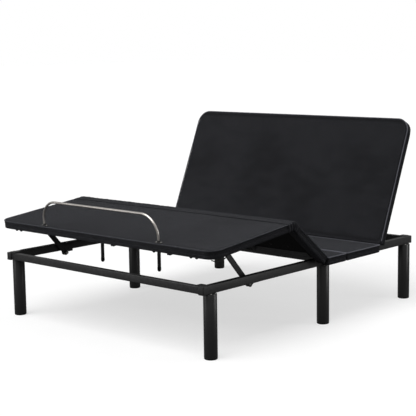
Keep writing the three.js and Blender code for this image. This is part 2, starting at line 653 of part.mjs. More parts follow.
// The motor lies beside the tube, on its left.
function actuator(root, name, x, pivot, pin, stroke, tubeEnd) {
  const group = aimed(root, x, pivot, pin);
  const length = Math.hypot(pin[0] - pivot[0], pin[1] - pivot[1]);
  const housing = [eye(0, PIN_R + 0.4), box(-8, 8, EYE_R - 3, GEAR_FROM + 1, -11, 11)];
  housing.push(slabX(roundedRect(GEAR_FROM, -26, GEAR_TO, 26, 8), -88, 26, 4));
  housing.push(new THREE.CylinderGeometry(24, 24, 120, 24).translate(-62, GEAR_TO + 59, 0));
  add(group, `${name}_motor`, join(housing), plastic());
  add(group, `${name}_tube`, hollowTube(GEAR_TO + GAP, tubeEnd, 17, 10.6), steel());
  const tail = GEAR_TO + stroke + 6;
  const rod = new THREE.CylinderGeometry(9, 9, length - EYE_R + 3 - tail, 20);
  rod.translate(0, (length - EYE_R + 3 + tail) / 2, 0);
  const knob = slabX(stadium([length, 0], [length, 0.01], EYE_R), -8, 8, 8);
  add(group, `${name}_rod`, join([rod, knob, barAlong('x', PIN_R, -20, 20, length, 0, 16)]), zinc());
}

// ---- electrics under the seat -------------------------------------------------------------
function electrics(root) {
  const top = PANEL_BOTTOM - GAP;
  const control = slabY(roundedRect(250, top - 46, 430, top, 6), 975, 1095, 3);
  const sockets = [0, 1, 2].map((i) => box(280 + i * 45, 305 + i * 45, 970, 983, top - 32, top - 16));
  add(root, 'control_box', subtract(control, sockets), plastic());
  const supply = slabY(roundedRect(-430, top - 40, -290, top, 6), 975, 1045, 3);
  const inlet = box(-372, -348, 970, 986, top - 28, top - 12);
  add(root, 'power_supply', subtract(supply, [inlet]), plastic());
}

// ---- assembly -----------------------------------------------------------------------------
const root = new THREE.Group();
root.position.y = -(FRAME_FOOT_Y + FRAME_HEAD_Y) / 2;
sideRails(root);
crossMembers(root);
legs(root);
seat(root);
add(root, 'seat_hinge_front', hingeLeaf(SEAT_HINGE_Y, 1, MIDDLE_KNUCKLE, WEB[0]), zinc());
add(root, 'seat_hinge_rear', hingeLeaf(HEAD_HINGE_Y, -1, MIDDLE_KNUCKLE, WEB[0]), zinc());
hingePin(root, 'hinge_pin_seat', SEAT_HINGE_Y);
hingePin(root, 'hinge_pin_head', HEAD_HINGE_Y);
linkBolts(root);
electrics(root);
liftLinks(root);

const thigh = hinged(root, SEAT_HINGE_Y, HINGE_Z, -LEG_ANGLE);
thighBoards(thigh);
thighFrame(thigh);
hingePin(thigh, 'hinge_pin_knee', KNEE_Y);

const foot = hinged(thigh, KNEE_Y, HINGE_Z, LEG_ANGLE + FOOT_ANGLE);
footBoards(foot);
footFrame(foot);
footPosts(foot);
retainer(foot);
kneeGusset(foot);
cornerCable(foot);

const head = hinged(root, HEAD_HINGE_Y, HINGE_Z, HEAD_ANGLE);
headBoards(head);
headFrame(head);

const headPin = turnedPoint([HEAD_HINGE_Y, HINGE_Z], HEAD_LEVER, HEAD_ANGLE);
const legPin = turnedPoint([SEAT_HINGE_Y, HINGE_Z], LEG_LEVER, -LEG_ANGLE);
actuator(root, 'head_actuator', HEAD_MOTOR_X, HEAD_MOTOR_PIVOT, headPin, HEAD_STROKE, 340);
actuator(root, 'leg_actuator', LEG_MOTOR_X, LEG_MOTOR_PIVOT, legPin, LEG_STROKE, 320);

export default root;
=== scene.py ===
import json
import math
import random

import bmesh
import bpy
import numpy as np
from mathutils import Matrix, Vector, noise


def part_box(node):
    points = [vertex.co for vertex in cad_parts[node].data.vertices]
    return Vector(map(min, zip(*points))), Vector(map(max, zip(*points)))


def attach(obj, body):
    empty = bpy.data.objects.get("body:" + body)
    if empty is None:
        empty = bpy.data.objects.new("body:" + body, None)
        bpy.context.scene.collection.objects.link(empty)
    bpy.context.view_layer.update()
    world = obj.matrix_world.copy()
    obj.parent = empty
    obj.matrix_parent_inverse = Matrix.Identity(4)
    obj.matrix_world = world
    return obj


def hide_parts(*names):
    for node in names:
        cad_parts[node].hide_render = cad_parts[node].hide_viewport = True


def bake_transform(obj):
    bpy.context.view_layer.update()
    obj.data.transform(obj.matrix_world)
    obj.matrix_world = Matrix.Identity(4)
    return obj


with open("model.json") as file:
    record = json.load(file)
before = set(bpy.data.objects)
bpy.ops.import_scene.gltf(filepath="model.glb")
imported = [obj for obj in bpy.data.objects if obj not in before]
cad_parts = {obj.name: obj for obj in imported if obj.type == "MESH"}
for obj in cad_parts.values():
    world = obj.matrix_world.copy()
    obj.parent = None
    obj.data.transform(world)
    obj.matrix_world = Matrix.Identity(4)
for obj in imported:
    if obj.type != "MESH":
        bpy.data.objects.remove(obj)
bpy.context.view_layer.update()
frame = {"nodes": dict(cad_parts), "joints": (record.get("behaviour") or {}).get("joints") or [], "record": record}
joints = {j["name"]: j for j in frame["joints"]}
scene = bpy.context.scene
scene.view_settings.view_transform = "Standard"

# ---- camera ----
# Turned left of the bed's length, tipped down and rolled, in degrees.
CAMERA_AT = (4.0402, -4.4773, 1.4172)
YAW, PITCH, ROLL = (math.radians(a) for a in (42.372, 8.288, -0.860))
LENS = 98.09


def make_camera():
    look = Vector((-math.sin(YAW) * math.cos(PITCH), math.cos(YAW) * math.cos(PITCH), -math.sin(PITCH)))
    right = Vector((math.cos(YAW), math.sin(YAW), 0))
    up = right.cross(look)
    x_axis = right * math.cos(ROLL) + up * math.sin(ROLL)
    y_axis = up * math.cos(ROLL) - right * math.sin(ROLL)
    place = Matrix((x_axis, y_axis, -look)).transposed().to_4x4()
    place.translation = CAMERA_AT
    camera = bpy.data.objects.new("camera", bpy.data.cameras.new("camera"))
    camera.data.lens = LENS
    camera.data.sensor_width = 36
    camera.data.clip_end = 100
    camera.matrix_world = place
    scene.collection.objects.link(camera)
    scene.camera = camera


# ---- sections ----
# Each deck section is drawn lying flat, in metres, and placed by the turn of its hinges at rest.
def turn(at, degrees):
    """A turn about the line across the bed through a point."""
    there = Matrix.Translation(at)
    return there @ Matrix.Rotation(math.radians(degrees), 4, "X") @ there.inverted()


SEAT_HINGE = Vector(joints["leg_lift"]["pos_m"])
HEAD_HINGE = Vector(joints["head_lift"]["pos_m"])
KNEE_REST = Vector(joints["knee_fold"]["pos_m"])
HEAD_ANGLE = -joints["head_lift"]["range_deg"][0]
LEG_ANGLE = -joints["leg_lift"]["range_deg"][0]
FOOT_SLOPE = 6.0  # of the raised foot section, down towards the bed's foot
FOLD = LEG_ANGLE + FOOT_SLOPE
KNEE = SEAT_HINGE - Vector((0, (KNEE_REST - SEAT_HINGE).length, 0))
THIGH_TURN = turn(SEAT_HINGE, -LEG_ANGLE)
PLACE = {
    "frame": Matrix.Identity(4),
    "thigh": THIGH_TURN,
    "foot": THIGH_TURN @ turn(KNEE, FOLD),
    "head": turn(HEAD_HINGE, HEAD_ANGLE),
}


def flat_box(node, section):
    """Lowest and highest corner of a CAD node with its section laid flat."""
    back = PLACE[section].inverted()
    points = np.array([back @ v.co for v in frame["nodes"][node].data.vertices])
    return Vector(points.min(0)), Vector(points.max(0))


# ---- node helpers ----
class Nodes:
    """A material's node tree with short calls for what the finishes are made of."""

    def __init__(self, name, roughness, metallic=0.0, specular=0.5, sheen=0.0):
        self.material = bpy.data.materials.new(name)
        self.material.use_nodes = True
        self.tree = self.material.node_tree
        self.shader = self.tree.nodes["Principled BSDF"]
        self.set("Roughness", roughness)
        self.set("Metallic", metallic)
        self.set("Specular IOR Level", specular)
        self.set("Sheen Weight", sheen)
        self.set("Sheen Roughness", 0.45)
        self.at = self.tree.nodes.new("ShaderNodeTexCoord").outputs["Object"]

    def set(self, socket, value):
        self.shader.inputs[socket].default_value = value

    def node(self, kind, inputs, **settings):
        n = self.tree.nodes.new("ShaderNode" + kind)
        for key, value in settings.items():
            setattr(n, key, value)
        for key, value in inputs.items():
            if isinstance(value, bpy.types.NodeSocket):
                self.tree.links.new(value, n.inputs[key])
            elif value is not None:
                n.inputs[key].default_value = value
        return n

    def noise(self, scale, detail=2.0, rough=0.5, stretch=None):
        at = self.at
        if stretch:
            at = self.node("Mapping", {0: at, "Scale": stretch}).outputs[0]
        inputs = {"Vector": at, "Scale": scale, "Detail": detail, "Roughness": rough}
        return self.node("TexNoise", inputs).outputs[0]

    def wave(self, axis, scale, distortion):
        inputs = {"Vector": self.at, "Scale": scale, "Distortion": distortion, "Detail": 1.0}
        inputs["Detail Scale"] = 3.0
        return self.node("TexWave", inputs, wave_type="BANDS", bands_direction=axis).outputs["Fac"]

    def math(self, operation, a, b):
        return self.node("Math", {0: a, 1: b}, operation=operation).outputs[0]

    def ramp(self, factor, low, high, a=(0, 0, 0), b=(1, 1, 1)):
        n = self.node("ValToRGB", {0: factor})
        first, last = n.color_ramp.elements
        first.position, first.color = low, (*a, 1)
        last.position, last.color = high, (*b, 1)
        return n.outputs[0]

    def mix(self, factor, a, b):
        n = self.tree.nodes.new("ShaderNodeMix")
        n.data_type = "RGBA"
        for socket, value in ((0, factor), (6, a), (7, b)):
            if isinstance(value, bpy.types.NodeSocket):
                self.tree.links.new(value, n.inputs[socket])
            else:
                n.inputs[socket].default_value = value if socket == 0 else (*value, 1)
        return n.outputs[2]

    def color(self, socket):
        self.tree.links.new(socket, self.shader.inputs["Base Color"])

    def rough(self, socket, low, high):
        n = self.node("MapRange", {0: socket, 3: low, 4: high})
        self.tree.links.new(n.outputs[0], self.shader.inputs["Roughness"])

    def bump(self, *layers):
        """Layers of (height, distance), each on top of the last."""
        normal = None
        for height, distance in layers:
            n = self.node("Bump", {"Height": height, "Distance": distance, "Normal": normal})
            normal = n.outputs[0]
        self.tree.links.new(normal, self.shader.inputs["Normal"])


def shade(color, by):
    return tuple(min(1.0, c * by) for c in color)


def coated_steel(name, color, roughness=0.42, specular=0.42):
    """Powder-coated steel: fine orange peel, faint colour drift, paler worn edges."""
    m = Nodes(name, roughness, specular=specular)
    drift = m.ramp(m.noise(7, 3), 0.3, 0.7, shade(color, 0.82), shade(color, 1.2))
    speck = m.mix(m.ramp(m.noise(900, 1), 0.56, 0.72), drift, shade(color, 1.9))
    edge = m.node("NewGeometry", {}).outputs["Pointiness"]
    worn = m.math("MULTIPLY", m.ramp(edge, 0.53, 0.62), m.ramp(m.noise(60, 3, 0.7), 0.42, 0.66))
    m.color(m.mix(worn, speck, shade(color, 4.0)))
    m.rough(m.noise(40, 4, 0.6), roughness - 0.07, roughness + 0.1)
    m.bump((m.noise(850, 2), 0.00022), (m.noise(90, 2), 0.0003))
    return m.material


def woven(name, color, thread=1150.0, specular=0.14, sheen=0.13, mottle=0.13, lift=0.0006):
    """Woven upholstery: threads crossing on every side (thread is radians per metre), mottling, sheen."""
    m = Nodes(name, 0.93, specular=specular, sheen=sheen)
    m.set("Sheen Tint", (0.62, 0.64, 0.7, 1))
    waves = [m.wave(axis, thread / math.tau, 0.6) for axis in "XYZ"]
    cross = m.math("ADD", m.math("MULTIPLY", waves[0], waves[1]), m.math("MULTIPLY", waves[1], waves[2]))
    cross = m.math("ADD", cross, m.math("MULTIPLY", waves[2], waves[0]))
    soft = m.ramp(m.noise(24, 6, 0.68), 0.28, 0.74, shade(color, 1 - mottle), shade(color, 1 + mottle))
    heather = m.mix(m.ramp(m.noise(520, 2, 0.6), 0.4, 0.68), soft, shade(color, 1.75))
    deep = m.mix(m.ramp(cross, 0.05, 0.7), shade(color, 0.55), (1, 1, 1))
    m.color(m.node("MixRGB", {0: 0.55, 1: heather, 2: deep}, blend_type="MULTIPLY").outputs[0])
    m.bump((m.noise(9, 3, 0.5), 0.0008), (m.noise(300, 3, 0.6), 0.0004), (cross, lift))
    return m.material


def brushed(name, color, roughness, stretch=(1, 40, 40)):
    """Plated or drawn metal: fine lines along the piece, cloudy patches."""
    m = Nodes(name, roughness, metallic=1.0)
    m.color(m.ramp(m.noise(11, 4, 0.6), 0.3, 0.72, shade(color, 0.84), shade(color, 1.1)))
    m.rough(m.noise(22, 5, 0.7, stretch), roughness - 0.1, roughness + 0.14)
    m.bump((m.noise(26, 4, 0.6, stretch), 0.00012), (m.noise(700, 1), 0.00008))
    return m.material


def moulded(name, color, roughness, grain, specular):
    """Moulded plastic or rubber: fine spark-eroded grain, scuffs."""
    m = Nodes(name, roughness, specular=specular)
    base = m.ramp(m.noise(14, 4, 0.6), 0.3, 0.7, shade(color, 0.8), shade(color, 1.3))
    m.color(m.mix(m.ramp(m.noise(160, 4, 0.75), 0.62, 0.74), base, shade(color, 2.4)))
    m.rough(m.noise(55, 4, 0.6), roughness - 0.08, roughness + 0.12)
    cells = m.node("TexVoronoi", {"Vector": m.at, "Scale": grain}).outputs["Distance"]
    m.bump((cells, 0.00025), (m.noise(120, 2), 0.0002))
    return m.material


def board(name, color):
    """Dark board: long faint grain across the deck."""
    m = Nodes(name, 0.8, specular=0.15)
    grain = m.noise(5, 7, 0.7, (1, 26, 26))
    tone = m.ramp(grain, 0.3, 0.72, shade(color, 0.6), shade(color, 1.7))
    m.color(m.mix(m.ramp(m.noise(220, 2), 0.6, 0.75), tone, shade(color, 2.2)))
    m.rough(grain, 0.72, 0.9)
    m.bump((grain, 0.0006), (m.noise(400, 2), 0.0002))
    return m.material


STEEL = (0.0165, 0.0163, 0.0168)
CLOTH = (0.0098, 0.0098, 0.0118)
FINISHES = [
    ("frame_steel", coated_steel, STEEL),
    ("leg_steel", coated_steel, shade(STEEL, 0.7), 0.3, 0.5),
    ("subframe_steel", coated_steel, shade(STEEL, 0.8), 0.46, 0.35),
    ("cover_fabric", woven, CLOTH),
    ("black_zinc", brushed, (0.035, 0.034, 0.034), 0.42),
    ("end_cap", moulded, (0.014, 0.014, 0.0145), 0.38, 500, 0.5),
    # The piping's pale tone is partly painted highlight, and paler still on the seat and head, where it stands in
    # for light on their top edges.
    ("piping", woven, shade(CLOTH, 2.8), 1800.0, 0.25, 0.4, 0.15, 0.0004),
    ("pale_piping", woven, shade(CLOTH, 8.5), 1800.0, 0.3, 0.5, 0.15, 0.0004),
    ("thread", woven, shade(CLOTH, 1.3), 2600.0, 0.25, 0.4, 0.1, 0.0002),
    # Partly painted shade: the board is near black to carry the shade on the deck's underside as well as its own
    # dark tone.
    ("panel_board", board, (0.006, 0.0058, 0.0057)),
    ("glide_rubber", moulded, (0.0075, 0.0075, 0.0078), 0.7, 600, 0.25),
    ("cable_rubber", moulded, (0.009, 0.009, 0.0095), 0.5, 900, 0.35),
    # Painted shade: the black rail strip stands in for the dark line of shade and dark reflection along each side
    # rail's top face.
    ("rail_strip_rubber", moulded, (0.006, 0.006, 0.0062), 0.75, 500, 0.2),
    ("actuator_plastic", moulded, (0.011, 0.011, 0.0118), 0.5, 420, 0.4),
    ("hinge_zinc", brushed, (0.42, 0.41, 0.395), 0.4),
    ("retainer_nickel", brushed, (0.74, 0.70, 0.66), 0.26, (6, 60, 60)),
    ("actuator_tube", coated_steel, shade(STEEL, 0.9), 0.34, 0.5),
    ("actuator_rod", brushed, (0.52, 0.52, 0.53), 0.26, (40, 3, 40)),
]
MATERIALS = {name: make(name, *settings) for name, make, *settings in FINISHES}


# ---- mesh helpers ----
def place_object(name, mesh, section=None):
    piece = bpy.data.objects.new(name, mesh)
    scene.collection.objects.link(piece)
    if section:
        piece.matrix_world = PLACE[section]
    return piece


def piece_of(name, shape, section=None, sharp=35.0):
    """A new piece from a shape, which is a pair of points and faces."""
    mesh = bpy.data.meshes.new(name)
    mesh.from_pydata([tuple(p) for p in shape[0]], [], [tuple(f) for f in shape[1]])
    mesh.update()
    finish_mesh(mesh, sharp)
    return place_object(name, mesh, section)


def finish_mesh(mesh, sharp):
    """Turns the faces outward, and shades smooth but for edges over the sharp angle."""
    bm = bmesh.new()
    bm.from_mesh(mesh)
    bmesh.ops.recalc_face_normals(bm, faces=bm.faces)
    bm.to_mesh(mesh)
    bm.free()
    mesh.shade_smooth()
    if sharp:
        mesh.set_sharp_from_angle(angle=math.radians(sharp))


def dress(piece, finish, body, nodes=()):
    """Gives a piece its material, its body and the CAD nodes it stands for."""
    piece.data.materials.clear()
    piece.data.materials.append(MATERIALS[finish])
    if nodes:
        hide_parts(*nodes)
    if body:
        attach(piece, body)


def apply_modifiers(piece):
    graph = bpy.context.evaluated_depsgraph_get()
    made = bpy.data.meshes.new_from_object(piece.evaluated_get(graph))
    old = piece.data
    piece.modifiers.clear()
    piece.data = made
    bpy.data.meshes.remove(old)


def lathe(profile, sides, centre=(0, 0)):
    """Rings of (radius, height) turned about an upright axis, closed at both ends."""
    points, faces = [], []
    for radius, z in profile:
        for i in range(sides):
            a = 2 * math.pi * i / sides
            points.append((radius * math.cos(a) + centre[0], radius * math.sin(a) + centre[1], z))
    for r in range(len(profile) - 1):
        for i in range(sides):
            j = (i + 1) % sides
            faces.append((r * sides + i, r * sides + j, (r + 1) * sides + j, (r + 1) * sides + i))
    faces.append(tuple(range(sides))[::-1])
    faces.append(tuple((len(profile) - 1) * sides + i for i in range(sides)))
    return points, faces


def tube(path, radius, sides, closed=False):
    """Round tube along points, with no twist. A closed one joins each side to the nearest at its start."""
    path = [Vector(p) for p in path]
    count = len(path)
    tangents = []
    for i in range(count):
        a = path[(i - 1) % count] if closed or i else path[0]
        b = path[(i + 1) % count] if closed or i < count - 1 else path[-1]
        tangents.append((b - a).normalized())
    side = tangents[0].orthogonal().normalized()
    points = []
    for p, t in zip(path, tangents):
        side = (side - t * side.dot(t)).normalized()
        other = t.cross(side)
        for k in range(sides):
            a = 2 * math.pi * k / sides
            points.append(p + (side * math.cos(a) + other * math.sin(a)) * radius)
    faces = []
    for i in range(count if closed else count - 1):
        j = (i + 1) % count
        shift = 0
        if closed and j == 0:
            first = [(points[k] - points[i * sides]).length for k in range(sides)]
            shift = first.index(min(first))
        for k in range(sides):
            n = (k + 1) % sides
            ahead = [j * sides + (m + shift) % sides for m in (n, k)]
            faces.append((i * sides + k, i * sides + n, *ahead))
    if not closed:
        faces.append(tuple(range(sides))[::-1])
        faces.append(tuple((count - 1) * sides + k for k in range(sides)))
    return points, faces


def add_shape(store, shape, matrix=Matrix.Identity(4)):
    """Adds a shape to a store of several, moved by a matrix."""
    base = len(store[0])
    store[0].extend(matrix @ Vector(p) for p in shape[0])
    store[1].extend(tuple(base + i for i in f) for f in shape[1])


def beveled_box(lo, hi, radius, segments):
    bm = bmesh.new()
    bmesh.ops.create_cube(bm, size=1.0)
    for v in bm.verts:
        v.co = Vector([lo[k] + (v.co[k] + 0.5) * (hi[k] - lo[k]) for k in range(3)])
    bmesh.ops.bevel(bm, geom=bm.edges[:], offset=radius, segments=segments, profile=0.5, affect="EDGES")
    points = [v.co.copy() for v in bm.verts]
    faces = [tuple(v.index for v in f.verts) for f in bm.faces]
    bm.free()
    return points, faces


def refined(node, body, finish, width, segments, limit=34.0):
    """A copy of a hard CAD part with its edges over the limit angle rounded, which stands for the part."""
    piece = place_object("fine_" + node, frame["nodes"][node].data.copy())
    bm = bmesh.new()
    bm.from_mesh(piece.data)
    bmesh.ops.remove_doubles(bm, verts=bm.verts, dist=2e-5)
    bmesh.ops.dissolve_limit(bm, angle_limit=math.radians(1.0), verts=bm.verts, edges=bm.edges)
    bm.to_mesh(piece.data)
    bm.free()
    bevel = piece.modifiers.new("round", "BEVEL")
    bevel.limit_method = "ANGLE"
    bevel.angle_limit = math.radians(limit)
    bevel.width = width
    bevel.segments = segments
    apply_modifiers(piece)
    finish_mesh(piece.data, 40.0)
    dress(piece, finish, body, [node])


# ---- upholstered covers ----
# A cover is a thin pad over its board with deep lips round the outer edges. far_side is the end that has a
# lip too: -1 towards the foot, 1 towards the head, 0 for neither. Sizes are in metres.
ROUND_TOP, ROUND_LOW, ROUND_NEAR = 0.007, 0.005, 0.0034  # edge radii: top, underside, top at a hinge
LIP, PAD = 0.044, 0.0042  # width of a lip, thickness of the pad
NEAR_CORNER = 0.009  # plan corners at a hinge
SIDE_INSET, END_INSET, LOW_INSET = 0.0026, 0.0008, 0.0003  # room to swell: sides and top, ends, underside
PUFF, CROWN = 0.0034, 0.0019  # how far the sides and the top may swell
SIDE_PROUD, TOP_PROUD = 0.0015, 0.001  # past the CAD part in all
CLOTH_FRAMES = 20
NEAR_ROUNDS, BROAD_ROUNDS = 6, 60  # smoothing of what the cloth did, on the sides and on the top
CLOTH_SETTINGS = {
    "quality": 4,
    "mass": 0.25,
    "tension_stiffness": 12,
    "compression_stiffness": 12,
    "shear_stiffness": 6,
    "bending_stiffness": 0.4,
    "use_pressure": True,
    "uniform_pressure_force": 4.0,
    "vertex_group_mass": "held",
    "shrink_min": -0.006,
}
SEAM_DEPTH, SEAM_WIDTH, SEAM_HELD, SEAM_EASE = 0.0022, 0.0021, 0.0012, 0.004  # sewn side seam
EDGE_BAND = 0.0035  # this near the top the wall swells with it, this near the underside it is held
END_HELD, END_EASE = 0.004, 0.03  # from a hinge end: held, and back to full swell
WIDE_FOLD, CROSS_FOLD = 0.0005, 0.0003
PLEAT, PLEAT_REACH, PLEATS = 0.0009, 0.045, 34
CROSS_STEP, LONG_STEP = 0.026, 0.022  # grid steps across and along the bed
# Grid lines: in from an edge with a lip, in from a hinge end, down from the top, up from the underside.
EDGE_LINES = [0, 0.0016, 0.0034, 0.0052, 0.0072, 0.011, 0.017, 0.024, 0.033, LIP]
HINGE_LINES = [0, 0.0011, 0.0022, 0.0036, 0.006, 0.01, 0.018, 0.03]
DROP_LINES = [0, 0.0014, 0.0028, PAD, 0.0072, 0.0105, 0.014, 0.0175, 0.0195, 0.021, 0.0225, 0.0245, 0.028]
DROP_LINES += [0.0315, 0.035]
RISE_LINES = [ROUND_LOW, 0.0032, 0.0015, 0]
DIRECTIONS = [(axis, sign) for axis in range(3) for sign in (-1, 1)]


def spread(a, b, fine_a, fine_b, coarse):
    """Lines from a to b: the fine offsets at each end, then steps of about coarse."""
    low = [a + d for d in fine_a]
    high = [b - d for d in fine_b]
    steps = max(1, round((high[-1] - low[-1]) / coarse))
    middle = [low[-1] + (high[-1] - low[-1]) * i / steps for i in range(1, steps)]
    return low + middle + high[::-1]


def tray(lo, hi, far_side, corner, mitre):
    """Closed tray of quads: a thin top with lips on both sides and, if far_side, at that end.

    Returns points, faces and, per point, its inset from the outer wall. mitre, where a cover meets the
    knee, is how far the lip's lower edge is cut back (above 0 at the high end) and over what length.
    """
    xs = spread(lo.x, hi.x, EDGE_LINES, EDGE_LINES, CROSS_STEP)
    wall = EDGE_LINES + [corner + 0.004] if corner > LIP else EDGE_LINES
    deep_low, deep_high = far_side < 0, far_side > 0
    ys = spread(lo.y, hi.y, wall if deep_low else HINGE_LINES, wall if deep_high else HINGE_LINES, LONG_STEP)
    drops = DROP_LINES + [hi.z - lo.z - rise for rise in RISE_LINES]
    zs = [hi.z - d for d in drops][::-1]
    pad_level = zs.index(hi.z - PAD)

    def deep(i, j):
        x, y = (xs[i] + xs[i + 1]) / 2, (ys[j] + ys[j + 1]) / 2
        if min(x - lo.x, hi.x - x) < LIP:
            return True
        return (deep_low and y - lo.y < LIP) or (deep_high and hi.y - y < LIP)

    nx, ny, nz = len(xs) - 1, len(ys) - 1, len(zs) - 1
    solid = np.zeros((nx + 2, ny + 2, nz + 2), bool)
    for i in range(nx):
        for j in range(ny):
            solid[i + 1, j + 1, (1 if deep(i, j) else pad_level + 1):nz + 1] = True
    index, points, faces = {}, [], []

    def vertex(i, j, k):
        if (i, j, k) not in index:
            index[i, j, k] = len(points)
            points.append((xs[i], ys[j], zs[k]))
        return index[i, j, k]

    for i, j, k in np.argwhere(solid):
        for axis, sign in DIRECTIONS:
            near = [i, j, k]
            near[axis] += sign
            if solid[tuple(near)]:
                continue
            base = [i - 1, j - 1, k - 1]
            base[axis] += sign > 0
            a, b = [n for n in range(3) if n != axis]
            ring = []
            for da, db in ((0, 0), (1, 0), (1, 1), (0, 1)):
                at = list(base)
                at[a] += da
                at[b] += db
                ring.append(vertex(*at))
            faces.append(ring)
    points = np.array(points)
    return points, faces, shape_tray(points, lo, hi, far_side, corner, mitre)


def arc_pair(inset, drop, radius):
    """Maps the square edge at (inset, drop) onto an arc of that radius."""
    on_top = drop <= 1e-9
    t = 1 - np.where(on_top, inset, drop) / radius
    angle = np.where(on_top, t * math.pi / 4, math.pi / 2 - t * math.pi / 4)
    return radius * (1 - np.sin(angle)), radius * (1 - np.cos(angle))


def shape_tray(points, lo, hi, far_side, corner, mitre):
    """Rounds a tray's edges and plan corners in place, and cuts back the lower edge at the knee."""
    x, y, z = points.T.copy()
    radius_low = corner if far_side < 0 else NEAR_CORNER
    radius_high = corner if far_side > 0 else NEAR_CORNER
    side_x = np.sign(x)
    inset_x = np.minimum(x - lo.x, hi.x - x)
    inset_y = np.minimum(y - lo.y, hi.y - y)
    at_low = y - lo.y < hi.y - y
    plan = np.where(at_low, radius_low, radius_high)
    inset = np.minimum(inset_x, inset_y)
    hinge_end = np.where(at_low, far_side >= 0, far_side <= 0)
    share = np.clip((plan - inset_y) / plan, 0, 1)
    across = np.clip((plan - inset_x) / plan, 0, 1)
    toward_end = np.where(share + across > 0, share / np.maximum(share + across, 1e-9), 0)
    past_corner = np.maximum(toward_end, np.where(inset_x > plan, 1, 0))
    toward_end = np.where(inset_y < inset_x, past_corner, toward_end)
    top_round = ROUND_TOP + (ROUND_NEAR - ROUND_TOP) * np.where(hinge_end, toward_end, 0)
    drop, rise = hi.z - z, z - lo.z
    shell = (inset < 1e-9) | (drop < 1e-9)
    new_inset, new_drop = inset.copy(), drop.copy()
    top_edge = shell & (inset < top_round) & (drop < top_round)
    a, b = arc_pair(inset, drop, top_round)
    new_inset[top_edge], new_drop[top_edge] = a[top_edge], b[top_edge]
    low_shell = (inset < 1e-9) | (rise < 1e-9)
    low_edge = low_shell & (inset < ROUND_LOW) & (rise < ROUND_LOW)
    a, b = arc_pair(inset, rise, ROUND_LOW)
    new_inset[low_edge] = a[low_edge]
    new_drop[low_edge] = (hi.z - lo.z) - b[low_edge]
    z = hi.z - new_drop
    shift = new_inset - inset
    corner_zone = (inset_x < plan) & (inset_y < plan)
    centre_x = side_x * (hi.x - plan)
    centre_y = np.where(at_low, lo.y + plan, hi.y - plan)
    side_y = np.where(at_low, -1.0, 1.0)
    u = np.where(corner_zone, (x - centre_x) * side_x / plan, 0)
    v = np.where(corner_zone, (y - centre_y) * side_y / plan, 0)
    m = np.maximum(np.maximum(u, v), 1e-9)
    scale = (m - shift / plan) / m
    u, v = u * scale, v * scale
    disc_u = u * np.sqrt(np.maximum(0, 1 - v * v / 2))
    disc_v = v * np.sqrt(np.maximum(0, 1 - u * u / 2))
    by_x = inset_x < inset_y
    flat_x = np.where(by_x, x - side_x * shift, x)
    flat_y = np.where(by_x, y, y - side_y * shift)
    x = np.where(corner_zone, centre_x + side_x * disc_u * plan, flat_x)
    y = np.where(corner_zone, centre_y + side_y * disc_v * plan, flat_y)
    if mitre:
        back, reach = mitre
        level = np.clip(new_drop - PAD, 0, None) / (hi.z - lo.z - PAD)
        if back < 0:
            y += abs(back) * level * np.clip(1 - (y - lo.y) / reach, 0, 1)
        else:
            y -= back * level * np.clip(1 - (hi.y - y) / reach, 0, 1)
    points[:, 0], points[:, 1], points[:, 2] = x, y, z
    return inset


def array_of(collection, attribute):
    values = np.empty(len(collection) * 3, np.float32)
    collection.foreach_get(attribute, values)
    return values.reshape(-1, 3).astype(float)


def vertex_array(mesh):
    return array_of(mesh.vertices, "co")


def set_vertices(mesh, co):
    mesh.vertices.foreach_set("co", np.ascontiguousarray(co, np.float32).ravel())
    mesh.update()


def smoothed(mesh, values, rounds):
    """Point values averaged with their neighbours', some rounds over."""
    edges = np.array([e.vertices[:] for e in mesh.edges])
    count = np.bincount(edges.ravel(), minlength=len(values))[:, None]
    for _ in range(rounds):
        total = np.zeros_like(values)
        np.add.at(total, edges[:, 0], values[edges[:, 1]])
        np.add.at(total, edges[:, 1], values[edges[:, 0]])
        values = (values + total / count) / 2
    return values


def swell(piece, free, cap, top):
    """Blows the free fabric out with a cloth simulation, and keeps every point within its cap."""
    start = vertex_array(piece.data)
    group = piece.vertex_groups.new(name="held")
    for i in np.flatnonzero(free < 0.999):
        group.add([int(i)], float(1 - free[i]), "REPLACE")
    cloth = piece.modifiers.new("cloth", "CLOTH")
    for key, value in CLOTH_SETTINGS.items():
        setattr(cloth.settings, key, value)
    cloth.settings.effector_weights.gravity = 0
    cloth.collision_settings.use_collision = False
    cloth.collision_settings.use_self_collision = False
    cloth.point_cache.frame_end = CLOTH_FRAMES
    for step in range(1, CLOTH_FRAMES + 1):
        scene.frame_set(step)
    graph = bpy.context.evaluated_depsgraph_get()
    blown = vertex_array(piece.evaluated_get(graph).data)
    piece.modifiers.clear()
    piece.vertex_groups.clear()
    scene.frame_set(1)
    move = np.nan_to_num(blown - start)
    near = smoothed(piece.data, move, NEAR_ROUNDS)
    broad = smoothed(piece.data, move, BROAD_ROUNDS)
    move = np.where(top[:, None], broad, near) * free[:, None]
    size = np.linalg.norm(move, axis=1, keepdims=True)
    limit = cap[:, None] * np.tanh(size / np.maximum(cap[:, None], 1e-6))
    set_vertices(piece.data, start + move / np.maximum(size, 1e-9) * limit)


